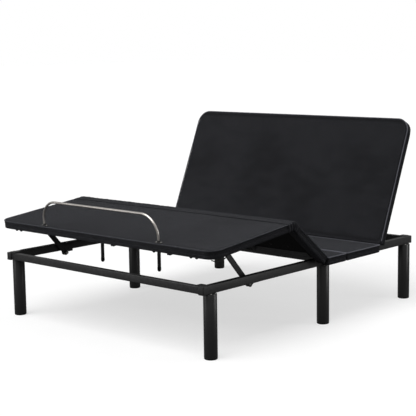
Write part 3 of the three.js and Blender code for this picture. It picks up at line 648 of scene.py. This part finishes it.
def cover(name, node, section, far_side, corner, mitre, seed):
    """One upholstered section: swollen bands above and below a sewn side seam, crowned top."""
    lo, hi = flat_box(node, section)
    lo, hi = lo + Vector((SIDE_INSET, END_INSET, LOW_INSET)), hi - Vector((SIDE_INSET, END_INSET, SIDE_INSET))
    points, faces, inset = tray(lo, hi, far_side, corner, mitre)
    piece = piece_of(name, (points, faces), section, None)
    co = vertex_array(piece.data)
    drop = hi.z - co[:, 2]
    seam_at = (hi.z - lo.z) / 2
    outer = (inset < 1e-6) & (drop > PAD)
    top = drop < EDGE_BAND
    end_gap = np.minimum(co[:, 1] - lo.y, hi.y - co[:, 1])
    ease = np.clip(end_gap / END_EASE, 0, 1)
    free = np.zeros(len(co))
    free[top] = 1
    band = np.abs(drop - seam_at)
    free[outer] = np.clip((band[outer] - SEAM_HELD) / SEAM_EASE, 0, 1)
    free[drop > hi.z - lo.z - EDGE_BAND] = 0
    at_hinge = (far_side == 0) | ((co[:, 1] > (lo.y + hi.y) / 2) == (far_side < 0))
    free[(end_gap < END_HELD) & at_hinge] = 0
    cap = np.where(top, CROWN * (0.35 + 0.65 * ease), PUFF)
    swell(piece, free, cap, top)
    co = vertex_array(piece.data)
    normals = array_of(piece.data.vertex_normals, "vector")
    move = np.zeros(len(co))
    groove = np.exp(-(((drop - seam_at) / SEAM_WIDTH) ** 2))
    move[outer] -= SEAM_DEPTH * groove[outer]
    for i in np.flatnonzero(top | outer):
        p = Vector(co[i])
        wide = noise.noise(p * 3.1 + Vector((seed, 0, 0))) * WIDE_FOLD
        fold = noise.noise(Vector((p.x * 9, p.y * 21, seed + 5.0))) * CROSS_FOLD
        move[i] += (wide + fold) * (1 if top[i] else 0.5) * ease[i]
    if corner > NEAR_CORNER:
        move += puckers(co, lo, hi, far_side, corner) * (top | outer)
    set_vertices(piece.data, co + normals * move[:, None])
    keep_inside(piece.data, node, section)
    subdivide(piece)
    piece.data.shade_smooth()
    dress(piece, "cover_fabric", section, [node])


def puckers(co, lo, hi, far_side, corner):
    """Small radial pleats where the fabric is drawn round a plan corner."""
    end = lo.y + corner if far_side < 0 else hi.y - corner
    dx = np.abs(co[:, 0]) - (hi.x - corner)
    dy = (co[:, 1] - end) * far_side
    angle = np.arctan2(np.maximum(dy, 0), np.maximum(dx, 1e-6))
    reach = np.hypot(np.maximum(dx, 0), np.maximum(dy, 0))
    inside = (dx > 0) & (dy > 0)
    near_edge = np.clip((reach - (corner - PLEAT_REACH)) / PLEAT_REACH, 0, 1) ** 2
    window = np.sin(np.clip(angle / (math.pi / 2), 0, 1) * math.pi) ** 0.6
    return np.where(inside, PLEAT * np.sin(angle * PLEATS) * near_edge * window, 0)


def keep_inside(mesh, node, section):
    """Clips a cover to the space of its CAD part, a little proud at the outside."""
    lo, hi = flat_box(node, section)
    co = vertex_array(mesh)
    co[:, 0] = np.clip(co[:, 0], lo.x - SIDE_PROUD, hi.x + SIDE_PROUD)
    co[:, 1] = np.clip(co[:, 1], lo.y, hi.y)
    co[:, 2] = np.clip(co[:, 2], lo.z, hi.z + TOP_PROUD)
    set_vertices(mesh, co)


def subdivide(piece):
    level = piece.modifiers.new("smooth", "SUBSURF")
    level.levels = level.render_levels = 1
    apply_modifiers(piece)


def outline(lo, hi, far_side, corner, inset, step=0.009):
    """Closed plan loop of a cover at an inset from its edge."""
    radii = {-1: corner if far_side < 0 else NEAR_CORNER, 1: corner if far_side > 0 else NEAR_CORNER}
    points = []
    for sx, sy in ((1, 1), (-1, 1), (-1, -1), (1, -1)):
        r = radii[sy]
        cx = sx * (hi.x - r)
        cy = hi.y - r if sy > 0 else lo.y + r
        start = {(1, 1): 0, (-1, 1): 90, (-1, -1): 180, (1, -1): 270}[sx, sy]
        arc_steps = max(3, round(r * math.pi / 2 / step))
        for i in range(arc_steps + 1):
            a = math.radians(start + 90 * i / arc_steps)
            points.append(Vector((cx + (r - inset) * math.cos(a), cy + (r - inset) * math.sin(a), 0)))
    loop = []
    for i, p in enumerate(points):
        q = points[(i + 1) % len(points)]
        pieces = max(1, round((q - p).length / step))
        loop += [p.lerp(q, k / pieces) for k in range(pieces)]
    return loop


PIPE_RADIUS, PIPE_INSET, PIPE_END, PIPE_WOBBLE = 0.0027, 0.0026, 0.012, 0.0004
STITCH_INSET, STITCH_PITCH, STITCH_END = 0.0088, 0.0075, 0.02
STITCH = [(0.00025, -0.0021), (0.0006, -0.0016), (0.00075, 0), (0.0006, 0.0016), (0.00025, 0.0021)]


def end_line(lo, hi, open_end, margin):
    """Where a loop stops short of a hinge end: -1 for the low one, 1 for the high one."""
    return lo.y + margin if open_end < 0 else hi.y - margin


def piping(name, node, section, far_side, corner, open_end):
    """Sewn piping along a cover's top edge; open_end leaves out the hinge side."""
    lo, hi = flat_box(node, section)
    loop = outline(lo, hi, far_side, corner, PIPE_INSET)
    path = [Vector((p.x, p.y, hi.z - PIPE_INSET)) for p in loop]
    if open_end:
        limit = end_line(lo, hi, open_end, PIPE_END)
        inside = [(p.y - limit) * open_end < 0 for p in path]
        first = next(i for i in range(len(path)) if inside[i] and not inside[i - 1])
        turned = path[first:] + path[:first]
        path = [p for p in turned if (p.y - limit) * open_end < 0]
    wobble = [p + Vector((0, 0, noise.noise(p * 14) * PIPE_WOBBLE)) for p in path]
    piece = piece_of(name, tube(wobble, PIPE_RADIUS, 10, closed=not open_end), section)
    # Painted highlight: the seat and head piping is paler than the thigh's and foot's, to stand in for light along
    # their top edges.
    finish = "pale_piping" if section in ("frame", "head") else "piping"
    dress(piece, finish, section)


def stitches(name, node, section, far_side, corner, open_end):
    """A row of top stitches just inside the piping."""
    lo, hi = flat_box(node, section)
    loop = outline(lo, hi, far_side, corner, STITCH_INSET, STITCH_PITCH)
    store = ([], [])
    body = lathe(STITCH, 6)
    for i, p in enumerate(loop):
        if open_end and (p.y - end_line(lo, hi, open_end, STITCH_END)) * open_end > 0:
            continue
        along = (loop[(i + 1) % len(loop)] - p).normalized()
        aim = along.to_track_quat("Z", "Y").to_matrix().to_4x4()
        middle = Vector((p.x, p.y, hi.z - 0.0001))
        add_shape(store, body, Matrix.Translation(middle) @ aim)
    dress(piece_of(name, store, section), "thread", section)


# name, CAD node, section, far_side, far corner radius, mitre at the knee, noise seed
COVERS = [
    ("seat_pad_front", "seat_cover_front", "frame", 0, NEAR_CORNER, None, 1),
    ("seat_pad_rear", "seat_cover_rear", "frame", 0, NEAR_CORNER, None, 2),
    ("thigh_pad", "thigh_cover", "thigh", 0, NEAR_CORNER, (-0.0168, 0.05), 3),
    ("foot_pad", "foot_cover", "foot", -1, 0.060, (0.0168, 0.05), 4),
    ("head_pad", "head_cover", "head", 1, 0.075, None, 5),
]


def make_covers():
    for name, node, section, far_side, corner, mitre, seed in COVERS:
        cover(name, node, section, far_side, corner, mitre, seed)
        open_end = -far_side
        piping(name + "_piping", node, section, far_side, corner, open_end)
        stitches(name + "_stitching", node, section, far_side, corner, open_end)


# ---- gathered knee fabric ----
KNEE_REACH = 0.056  # from the knee's axis to each end of the strip
KNEE_BEND = 0.020  # half the length over which it bends
KNEE_PROUD, KNEE_THICK, KNEE_CORNER, KNEE_LOW = 0.0014, 0.0012, 0.009, 0.004
SIDE_STEPS, CORNER_STEPS, TOP_STEPS, ROWS = 10, 6, 150, 44
SIDE_FOLD, TOP_FOLD, TOP_CREASE, ROUGH_FOLD, LOOSE = 0.0038, 0.0010, 0.0007, 0.0012, 0.0009


def knee_place(point):
    """Moves a flat point near the knee to its place at rest, bending smoothly across the joint."""
    along = point.y - KNEE.y
    t = min(1.0, max(0.0, (KNEE_BEND - along) / (2 * KNEE_BEND)))
    share = t * t * (3 - 2 * t)
    return THIGH_TURN @ turn(KNEE, FOLD * share) @ point


def knee_section(lo, hi):
    """The strip's cross-section from one lower edge over the top to the other: (x, z, normal x, normal z)."""
    low = lo.z + KNEE_LOW
    half = []
    for i in range(SIDE_STEPS + 1):
        half.append((hi.x + KNEE_PROUD, low + (hi.z - KNEE_CORNER - low) * i / SIDE_STEPS, 1, 0))
    for i in range(1, CORNER_STEPS):
        a = math.radians(90 * i / CORNER_STEPS)
        x = hi.x + KNEE_PROUD - KNEE_CORNER + KNEE_CORNER * math.cos(a)
        z = hi.z + KNEE_PROUD - KNEE_CORNER + KNEE_CORNER * math.sin(a)
        half.append((x, z, math.cos(a), math.sin(a)))
    top = []
    for i in range(TOP_STEPS + 1):
        top.append(((hi.x - KNEE_CORNER) * (1 - 2 * i / TOP_STEPS), hi.z + KNEE_PROUD, 0, 1))
    return half + top + [(-x, z, -nx, nz) for x, z, nx, nz in half[::-1]]


def make_knee_fabric():
    """Gathered strip that wraps the knee over the top and down both side edges."""
    lo, hi = flat_box("foot_cover", "foot")
    line = knee_section(lo, hi)
    points, faces = [], []
    rng = random.Random(11)
    wide, crease, side = (rng.uniform(0, 6.28) for _ in range(3))
    for r in range(ROWS + 1):
        s = KNEE_REACH * (1 - 2 * r / ROWS)
        fade = 1 - (abs(s) / KNEE_REACH) ** 4
        for x, z, nx, nz in line:
            depth = (hi.z - z) / (hi.z - lo.z)
            top_folds = TOP_FOLD * math.sin(x * 310 + wide + 2 * math.sin(x * 23))
            top_folds += TOP_CREASE * math.sin(x * 173 + crease)
            side_folds = SIDE_FOLD * math.sin(s * 330 + side + 0.9 * math.sin(z * 90)) * (0.35 + 0.65 * depth)
            rough = ROUGH_FOLD * noise.noise(Vector((x * 30, s * 60, z * 60)))
            lift = (top_folds * nz + side_folds * abs(nx) + rough + LOOSE) * fade
            points.append(knee_place(Vector((x + nx * lift, KNEE.y + s, z + nz * lift))))
    width = len(line)
    for r in range(ROWS):
        for c in range(width - 1):
            a = r * width + c
            faces.append((a, a + 1, a + width + 1, a + width))
    piece = piece_of("knee_fabric", (points, faces), None, None)
    shell = piece.modifiers.new("thickness", "SOLIDIFY")
    shell.thickness = KNEE_THICK
    shell.offset = 0
    subdivide(piece)
    piece.data.shade_smooth()
    dress(piece, "cover_fabric", None, ["knee_gusset"])
    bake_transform(piece)


# ---- frame ----
SIDES = (("left", -1), ("right", 1))
LEG_SIDES, LEG_SCREW_OUT, LEG_SCREW_ALONG = 56, 0.0207, 0.015
# Lathe profiles of a leg and a glide: how far in from the outside, and up from the bottom (LOW) or down
# from the top (HIGH).
LEG_LOW = [(0.004, 0.0006), (0.0012, 0), (0.0003, 0.0006), (0, 0.0016), (0, 0.1)]
LEG_HIGH = [(0, 0.0016), (0.0006, 0.0004), (0.0016, 0)]
GLIDE_LOW = [(0.006, 0), (0.003, 0.0004), (0.0008, 0.0022), (0, 0.0045)]
GLIDE_HIGH = [(0, 0.002), (0.0008, 0.0006), (0.002, 0)]
# A button head with a socket, as shares of its radius and height.
SCREW = [(1, 0), (1, 0.35), (0.86, 0.72), (0.62, 0.95), (0.5, 1), (0.44, 0.96), (0.42, 0.4)]


def make_rails():
    """Rails and tubes with rounded edges; each keeps its clip and brackets from the CAD."""
    for side, _ in SIDES:
        for half in ("foot", "head"):
            refined(f"side_rail_{half}_{side}", "frame", "frame_steel", 0.0022, 3, 50)
    for node in ("cross_rail_foot", "cross_rail_head", "cross_tube_middle", "cross_tube_rear"):
        refined(node, "frame", "frame_steel", 0.0012, 2, 50)
    # The black strips on the rail tops paint the dark line of shade and dark reflection seen along the rails'
    # tops.
    for side, _ in SIDES:
        refined(f"rail_strip_{side}", "frame", "rail_strip_rubber", 0.0006, 2)


def round_part(name, node, finish, low, high):
    """A lathed leg or glide in its CAD node's place."""
    lo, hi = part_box(node)
    centre = (lo + hi) / 2
    radius = (hi.x - lo.x) / 2
    profile = [(radius - inset, lo.z + up) for inset, up in low]
    profile += [(radius - inset, hi.z - down) for inset, down in high]
    piece = piece_of(name, lathe(profile, LEG_SIDES, centre))
    dress(piece, finish, "frame", [node])
    return centre, hi.z


def make_legs():
    for station in ("foot", "middle", "head"):
        for side, outward in SIDES:
            node, glide = f"leg_{station}_{side}", f"glide_{station}_{side}"
            centre, top = round_part(f"{node}_tube", node, "leg_steel", LEG_LOW, LEG_HIGH)
            round_part(f"{glide}_cap", glide, "glide_rubber", GLIDE_LOW, GLIDE_HIGH)
            store = ([], [])
            for along in (-LEG_SCREW_ALONG, LEG_SCREW_ALONG):
                at = Vector((centre.x + outward * LEG_SCREW_OUT, centre.y + along, top))
                add_shape(store, screw(0.0036, 0.0026), Matrix.Translation(at))
            dress(piece_of(f"{node}_screws", store), "hinge_zinc", "frame")


def screw(radius, height):
    return lathe([(radius * r, height * h) for r, h in SCREW] + [(0.0001, height * 0.4)], 18)


def make_fittings():
    """Hard parts that keep the CAD shape with rounded edges."""
    for side, _ in SIDES:
        refined(f"lift_link_{side}", f"lift_link_{side}", "subframe_steel", 0.001, 2)
        refined(f"link_bolt_{side}", "frame", "hinge_zinc", 0.0007, 2)
        refined(f"retainer_socket_{side}", "foot", "frame_steel", 0.0008, 3)
    for section in ("thigh", "foot", "head"):
        refined(f"{section}_frame", section, "subframe_steel", 0.0006, 1, 50)
    for node in ("control_box", "power_supply"):
        refined(node, "frame", "actuator_plastic", 0.002, 3, 50)
    for lift in ("head", "leg"):
        refined(f"{lift}_actuator_motor", f"{lift}_motor", "actuator_plastic", 0.0014, 2, 50)
        refined(f"{lift}_actuator_tube", f"{lift}_motor", "actuator_tube", 0.0008, 2, 50)
        refined(f"{lift}_actuator_rod", f"{lift}_rod", "actuator_rod", 0.0008, 2, 50)


BAR_RADIUS, BAR_BEND = 0.006, 0.100
UPRIGHT_STEPS, BEND_STEPS, BAR_STEPS = 9, 18, 40
FOOT_SCREW_OUT = 0.0145
# Outside the bar's surface, and up from its socket.
COLLAR = [(0.0003, 0), (0.0032, 0), (0.0032, 0.006), (0.0022, 0.009), (0.0003, 0.0095)]


def make_retainer():
    """Mattress bar: one drawn tube with bent corners, collars and screwed feet."""
    lo, hi = flat_box("retainer_bar", "foot")
    x, y = hi.x - BAR_RADIUS, (lo.y + hi.y) / 2
    top = hi.z - BAR_RADIUS
    inner = x - BAR_BEND
    half = []
    for i in range(UPRIGHT_STEPS):
        half.append(Vector((x, y, lo.z + (top - BAR_BEND - lo.z) * i / UPRIGHT_STEPS)))
    for i in range(BEND_STEPS + 1):
        a = math.radians(90 * i / BEND_STEPS)
        half.append(Vector((inner + BAR_BEND * math.cos(a), y, top - BAR_BEND + BAR_BEND * math.sin(a))))
    across = [Vector((inner - 2 * inner * i / BAR_STEPS, y, top)) for i in range(1, BAR_STEPS)]
    path = half + across + [Vector((-p.x, p.y, p.z)) for p in half[::-1]]
    piece = piece_of("retainer_tube", tube(path, BAR_RADIUS, 24), "foot")
    dress(piece, "retainer_nickel", "foot", ["retainer_bar"])
    collars, screws = ([], []), ([], [])
    ring = [(BAR_RADIUS + out, up) for out, up in COLLAR]
    base = flat_box("retainer_socket_left", "foot")[1].z
    for side in (-1, 1):
        add_shape(collars, lathe(ring, 28), Matrix.Translation((side * x, y, base)))
        for dx in (-FOOT_SCREW_OUT, FOOT_SCREW_OUT):
            add_shape(screws, screw(0.0034, 0.0018), Matrix.Translation((side * x + dx, y, base)))
    dress(piece_of("retainer_collars", collars, "foot"), "frame_steel", "foot")
    dress(piece_of("retainer_screws", screws, "foot"), "hinge_zinc", "foot")


CAP_GAP, CAP_THICK, CAP_HALF = 0.0012, 0.0030, 0.0152
CAP_BELOW, CAP_ABOVE = 0.0022, 0.0032  # past the rail's lower and upper side
PLUG_HALF, PLUG_LENGTH, PLUG_INSET = 0.0115, 0.004, 0.004


def make_end_caps():
    """Moulded caps that close the side rails, a hair's gap away from the tube."""
    rail_low, rail_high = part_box("cross_rail_foot")
    for side, _ in SIDES:
        store = ([], [])
        for half, d in (("foot", -1), ("head", 1)):
            lo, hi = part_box(f"side_rail_{half}_{side}")
            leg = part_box(f"leg_{half}_{side}")
            middle = (leg[0].x + leg[1].x) / 2
            y = (lo.y if d < 0 else hi.y) + d * (CAP_GAP + CAP_THICK / 2)
            low = Vector((middle - CAP_HALF, y - CAP_THICK / 2, rail_low.z - CAP_BELOW))
            high = Vector((middle + CAP_HALF, y + CAP_THICK / 2, rail_high.z + CAP_ABOVE))
            add_shape(store, beveled_box(low, high, 0.0013, 3))
            inward = y - d * PLUG_LENGTH
            plug_low = Vector((middle - PLUG_HALF, min(y, inward), low.z + PLUG_INSET))
            plug_high = Vector((middle + PLUG_HALF, max(y, inward), high.z - PLUG_INSET))
            add_shape(store, beveled_box(plug_low, plug_high, 0.0005, 1))
        dress(piece_of(f"rail_caps_{side}", store), "end_cap", "frame")


STUD_XS = (0.370, 0.605, 0.640)
STUD = [(0.0015, -0.0085), (0.0048, -0.0078), (0.0066, -0.0058), (0.0072, -0.003), (0.0072, -0.0003)]
STUD += [(0.0075, 0)]


def make_studs():
    """Small moulded studs under the foot section's end edge."""
    lo = flat_box("foot_cover", "foot")[0]
    store = ([], [])
    for side in (-1, 1):
        for x in STUD_XS:
            add_shape(store, lathe(STUD, 20), Matrix.Translation((side * x, lo.y + 0.016, lo.z + 0.0002)))
    dress(piece_of("foot_studs", store, "foot"), "glide_rubber", "foot")


GAP_ROLL, ROLL_STEP = 0.0029, 0.01
ROLL_SPANS = ((-0.752, -0.646), (-0.554, -0.046), (0.046, 0.554), (0.646, 0.752))  # between the knuckles
STRIP_THICK, STRIP_GAP, STRIP_LAP = 0.0012, 0.0006, 0.004


def make_gap_strips():
    """Dark fabric that closes the seat's seam and hinge lines: a strip below, a roll between knuckles."""
    front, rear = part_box("seat_cover_front"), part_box("seat_cover_rear")
    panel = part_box("seat_panel_front")
    top = panel[0].z - STRIP_GAP
    low = Vector((-panel[1].x, front[1].y - STRIP_LAP, top - STRIP_THICK))
    high = Vector((panel[1].x, rear[0].y + STRIP_LAP, top))
    dress(piece_of("seat_seam_strip", beveled_box(low, high, 0.0004, 2)), "cover_fabric", "frame")
    for name, hinge in (("thigh", SEAT_HINGE), ("head", HEAD_HINGE)):
        store = ([], [])
        for x0, x1 in ROLL_SPANS:
            steps = round((x1 - x0) / ROLL_STEP)
            path = [(x0 + (x1 - x0) * i / steps, hinge.y, hinge.z) for i in range(steps + 1)]
            add_shape(store, tube(path, GAP_ROLL, 14))
        dress(piece_of(f"{name}_hinge_roll", store), "cover_fabric", "frame")


def make_posts():
    """Round posts under the foot section, each with a rubber tip."""
    for side, _ in SIDES:
        node = f"foot_post_{side}"
        lo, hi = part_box(node)
        r = (hi.x - lo.x) / 2
        body = [(r, lo.z + 0.012), (r, hi.z - 0.002), (r + 0.0012, hi.z - 0.0014), (r + 0.0012, hi.z)]
        tip = [(0.001, 0), (r * 0.45, 0.0007), (r * 0.78, 0.0026), (r * 0.97, 0.006), (r + 0.0007, 0.010)]
        tip += [(r + 0.0007, 0.022), (r + 0.0002, 0.0232)]
        centre = (lo + hi) / 2
        dress(piece_of(f"{node}_tube", lathe(body, 32, centre)), "frame_steel", "foot", [node])
        tip = [(a, b + lo.z) for a, b in tip]
        dress(piece_of(f"{node}_tip", lathe(tip, 32, centre)), "glide_rubber", "foot")


# Places of the board screws: metres across the bed, and shares of the board's length.
BOARD_SCREWS = {
    "thigh": ((-0.56, -0.45, -0.15, 0.15, 0.45, 0.56), (0.25, 0.75)),
    "head": ((-0.6, -0.45, -0.15, 0, 0.15, 0.45, 0.6), (0.05, 0.95)),
    "foot": ((-0.56, -0.4, -0.1, 0.1, 0.4, 0.56), (0.12, 0.9)),
}


def make_screws():
    """Button-head screws through the hinge leaves and subframes into each board."""
    down = Matrix.Rotation(math.pi, 4, "X")
    for section, (columns, shares) in BOARD_SCREWS.items():
        lo, hi = flat_box(f"{section}_panel", section)
        store = ([], [])
        for x in columns:
            for share in shares:
                at = Vector((x, lo.y + (hi.y - lo.y) * share, lo.z))
                add_shape(store, screw(0.006, 0.0032), Matrix.Translation(at) @ down)
        dress(piece_of(f"{section}_board_screws", store, section), "subframe_steel", section)


CABLE_DROP, CABLE_STEPS = 0.0028, 8
# Knots in from the foot section's end and down from its underside.
CABLE_KNOTS = [(0.728, 0.016, -0.001), (0.739, 0.034, -0.009), (0.744, 0.062, -0.012), (0.742, 0.094, -0.008)]
CABLE_KNOTS += [(0.733, 0.126, -0.001)]


def curve_point(p0, p1, p2, p3, t):
    """Catmull-Rom curve from p1 to p2."""
    square = (2 * p0 - 5 * p1 + 4 * p2 - p3) * t * t
    return 0.5 * (2 * p1 + (p2 - p0) * t + square + (3 * p1 - p0 - 3 * p2 + p3) * t ** 3)


def make_cable():
    """Short loop of cable under the foot section's right corner."""
    lo = flat_box("foot_cover", "foot")[0]
    knots = [Vector((x, lo.y + y, lo.z - CABLE_DROP + z)) for x, y, z in CABLE_KNOTS]
    ends = [knots[0] * 2 - knots[1]] + knots + [knots[-1] * 2 - knots[-2]]
    path = []
    for i in range(len(knots) - 1):
        path += [curve_point(*ends[i : i + 4], k / CABLE_STEPS) for k in range(CABLE_STEPS)]
    path.append(knots[-1])
    path = [PLACE["foot"] @ p for p in path]
    diameter = 0.005
    piece = piece_of("corner_cable_loop", tube(path, diameter / 2, 14))
    dress(piece, "cable_rubber", "foot", ["corner_cable"])


def finish_cad_nodes():
    """Gives every CAD node still shown its finish, by the slot of the record that names it."""
    slots = {entry["node"]: entry["material_slot"] for entry in frame["record"]["subparts"]}
    for name, node in frame["nodes"].items():
        finish = "black_zinc" if "hinge" in name else slots[name]
        for s in node.material_slots:
            s.material = MATERIALS[finish]


# ---- stage ----
FLOOR_GLOW, FLOOR_DARK, FLOOR_PALE, FLOOR_HALF = 0.62, 0.35, 0.37, 60  # the last is half its width
SURROUND_LOW, SURROUND_MIDDLE, SURROUND_HIGH = 0.03, 0.22, 0.55


def make_stage():
    """Pale floor in a surround that looks white, and lights the object more from above than from below."""
    m = Nodes("floor", 0.85, specular=0.1)
    m.color(m.ramp(m.noise(3, 2), 0.2, 0.8, (FLOOR_DARK,) * 3, (FLOOR_PALE,) * 3))
    m.set("Emission Color", (1, 1, 1, 1))
    m.set("Emission Strength", FLOOR_GLOW)
    corners = [(x * FLOOR_HALF, y * FLOOR_HALF, 0) for x, y in ((-1, -1), (1, -1), (1, 1), (-1, 1))]
    floor = piece_of("floor", (corners, [(0, 1, 2, 3)]))
    floor.data.materials.append(m.material)
    floor.visible_diffuse = False
    floor.visible_glossy = False
    world = bpy.data.worlds.new("studio")
    scene.world = world
    world.use_nodes = True
    nodes, link = world.node_tree.nodes, world.node_tree.links.new
    back = nodes["Background"]
    back.inputs["Strength"].default_value = 1.0
    at, split, height, levels, bright, seen, mixed = (nodes.new("ShaderNode" + kind) for kind in (
        "TexCoord", "SeparateXYZ", "MapRange", "ValToRGB", "Background", "LightPath", "MixShader"))
    height.inputs["From Min"].default_value = -1.0
    levels.color_ramp.elements.new(0.5)
    tones = ((0.0, SURROUND_LOW), (0.5, SURROUND_MIDDLE), (1.0, SURROUND_HIGH))
    for element, (position, tone) in zip(levels.color_ramp.elements, tones):
        element.position = position
        element.color = (tone, tone, tone, 1)
    bright.inputs["Color"].default_value = (1, 1, 1, 1)
    link(at.outputs["Generated"], split.inputs[0])
    link(split.outputs["Z"], height.inputs["Value"])
    link(height.outputs[0], levels.inputs[0])
    link(levels.outputs[0], back.inputs["Color"])
    link(seen.outputs["Is Camera Ray"], mixed.inputs[0])
    link(back.outputs[0], mixed.inputs[1])
    link(bright.outputs[0], mixed.inputs[2])
    link(mixed.outputs[0], nodes["World Output"].inputs["Surface"])


def add_light(kind, name, at, target, energy, size, tall=0.0):
    """A sun of an angular size in degrees, or a rectangle of a width and height in metres."""
    data = bpy.data.lights.new(name, kind)
    data.energy = energy
    if kind == "SUN":
        data.angle = math.radians(size)
    else:
        data.shape = "RECTANGLE"
        data.size, data.size_y = size, tall
    lamp = bpy.data.objects.new(name, data)
    lamp.location = at
    lamp.rotation_mode = "QUATERNION"
    lamp.rotation_quaternion = (Vector(target) - Vector(at)).to_track_quat("-Z", "Y")
    scene.collection.objects.link(lamp)


def make_lights():
    add_light("SUN", "overhead", (0.1, -2.9, 5.2), (0, 0, 0), 2.5, 50)
    add_light("AREA", "left_strip", (-2.4, -3.9, 1.1), (0, 0, 0.3), 15, 1.5, 2.2)
    add_light("AREA", "right_strip", (4.2, 2.2, 1.2), (0, 0, 0.3), 36, 1.6, 2.2)


make_camera()
make_stage()
make_lights()
finish_cad_nodes()
make_covers()
make_knee_fabric()
make_rails()
make_legs()
make_fittings()
make_retainer()
make_end_caps()
make_studs()
make_gap_strips()
make_posts()
make_screws()
make_cable()
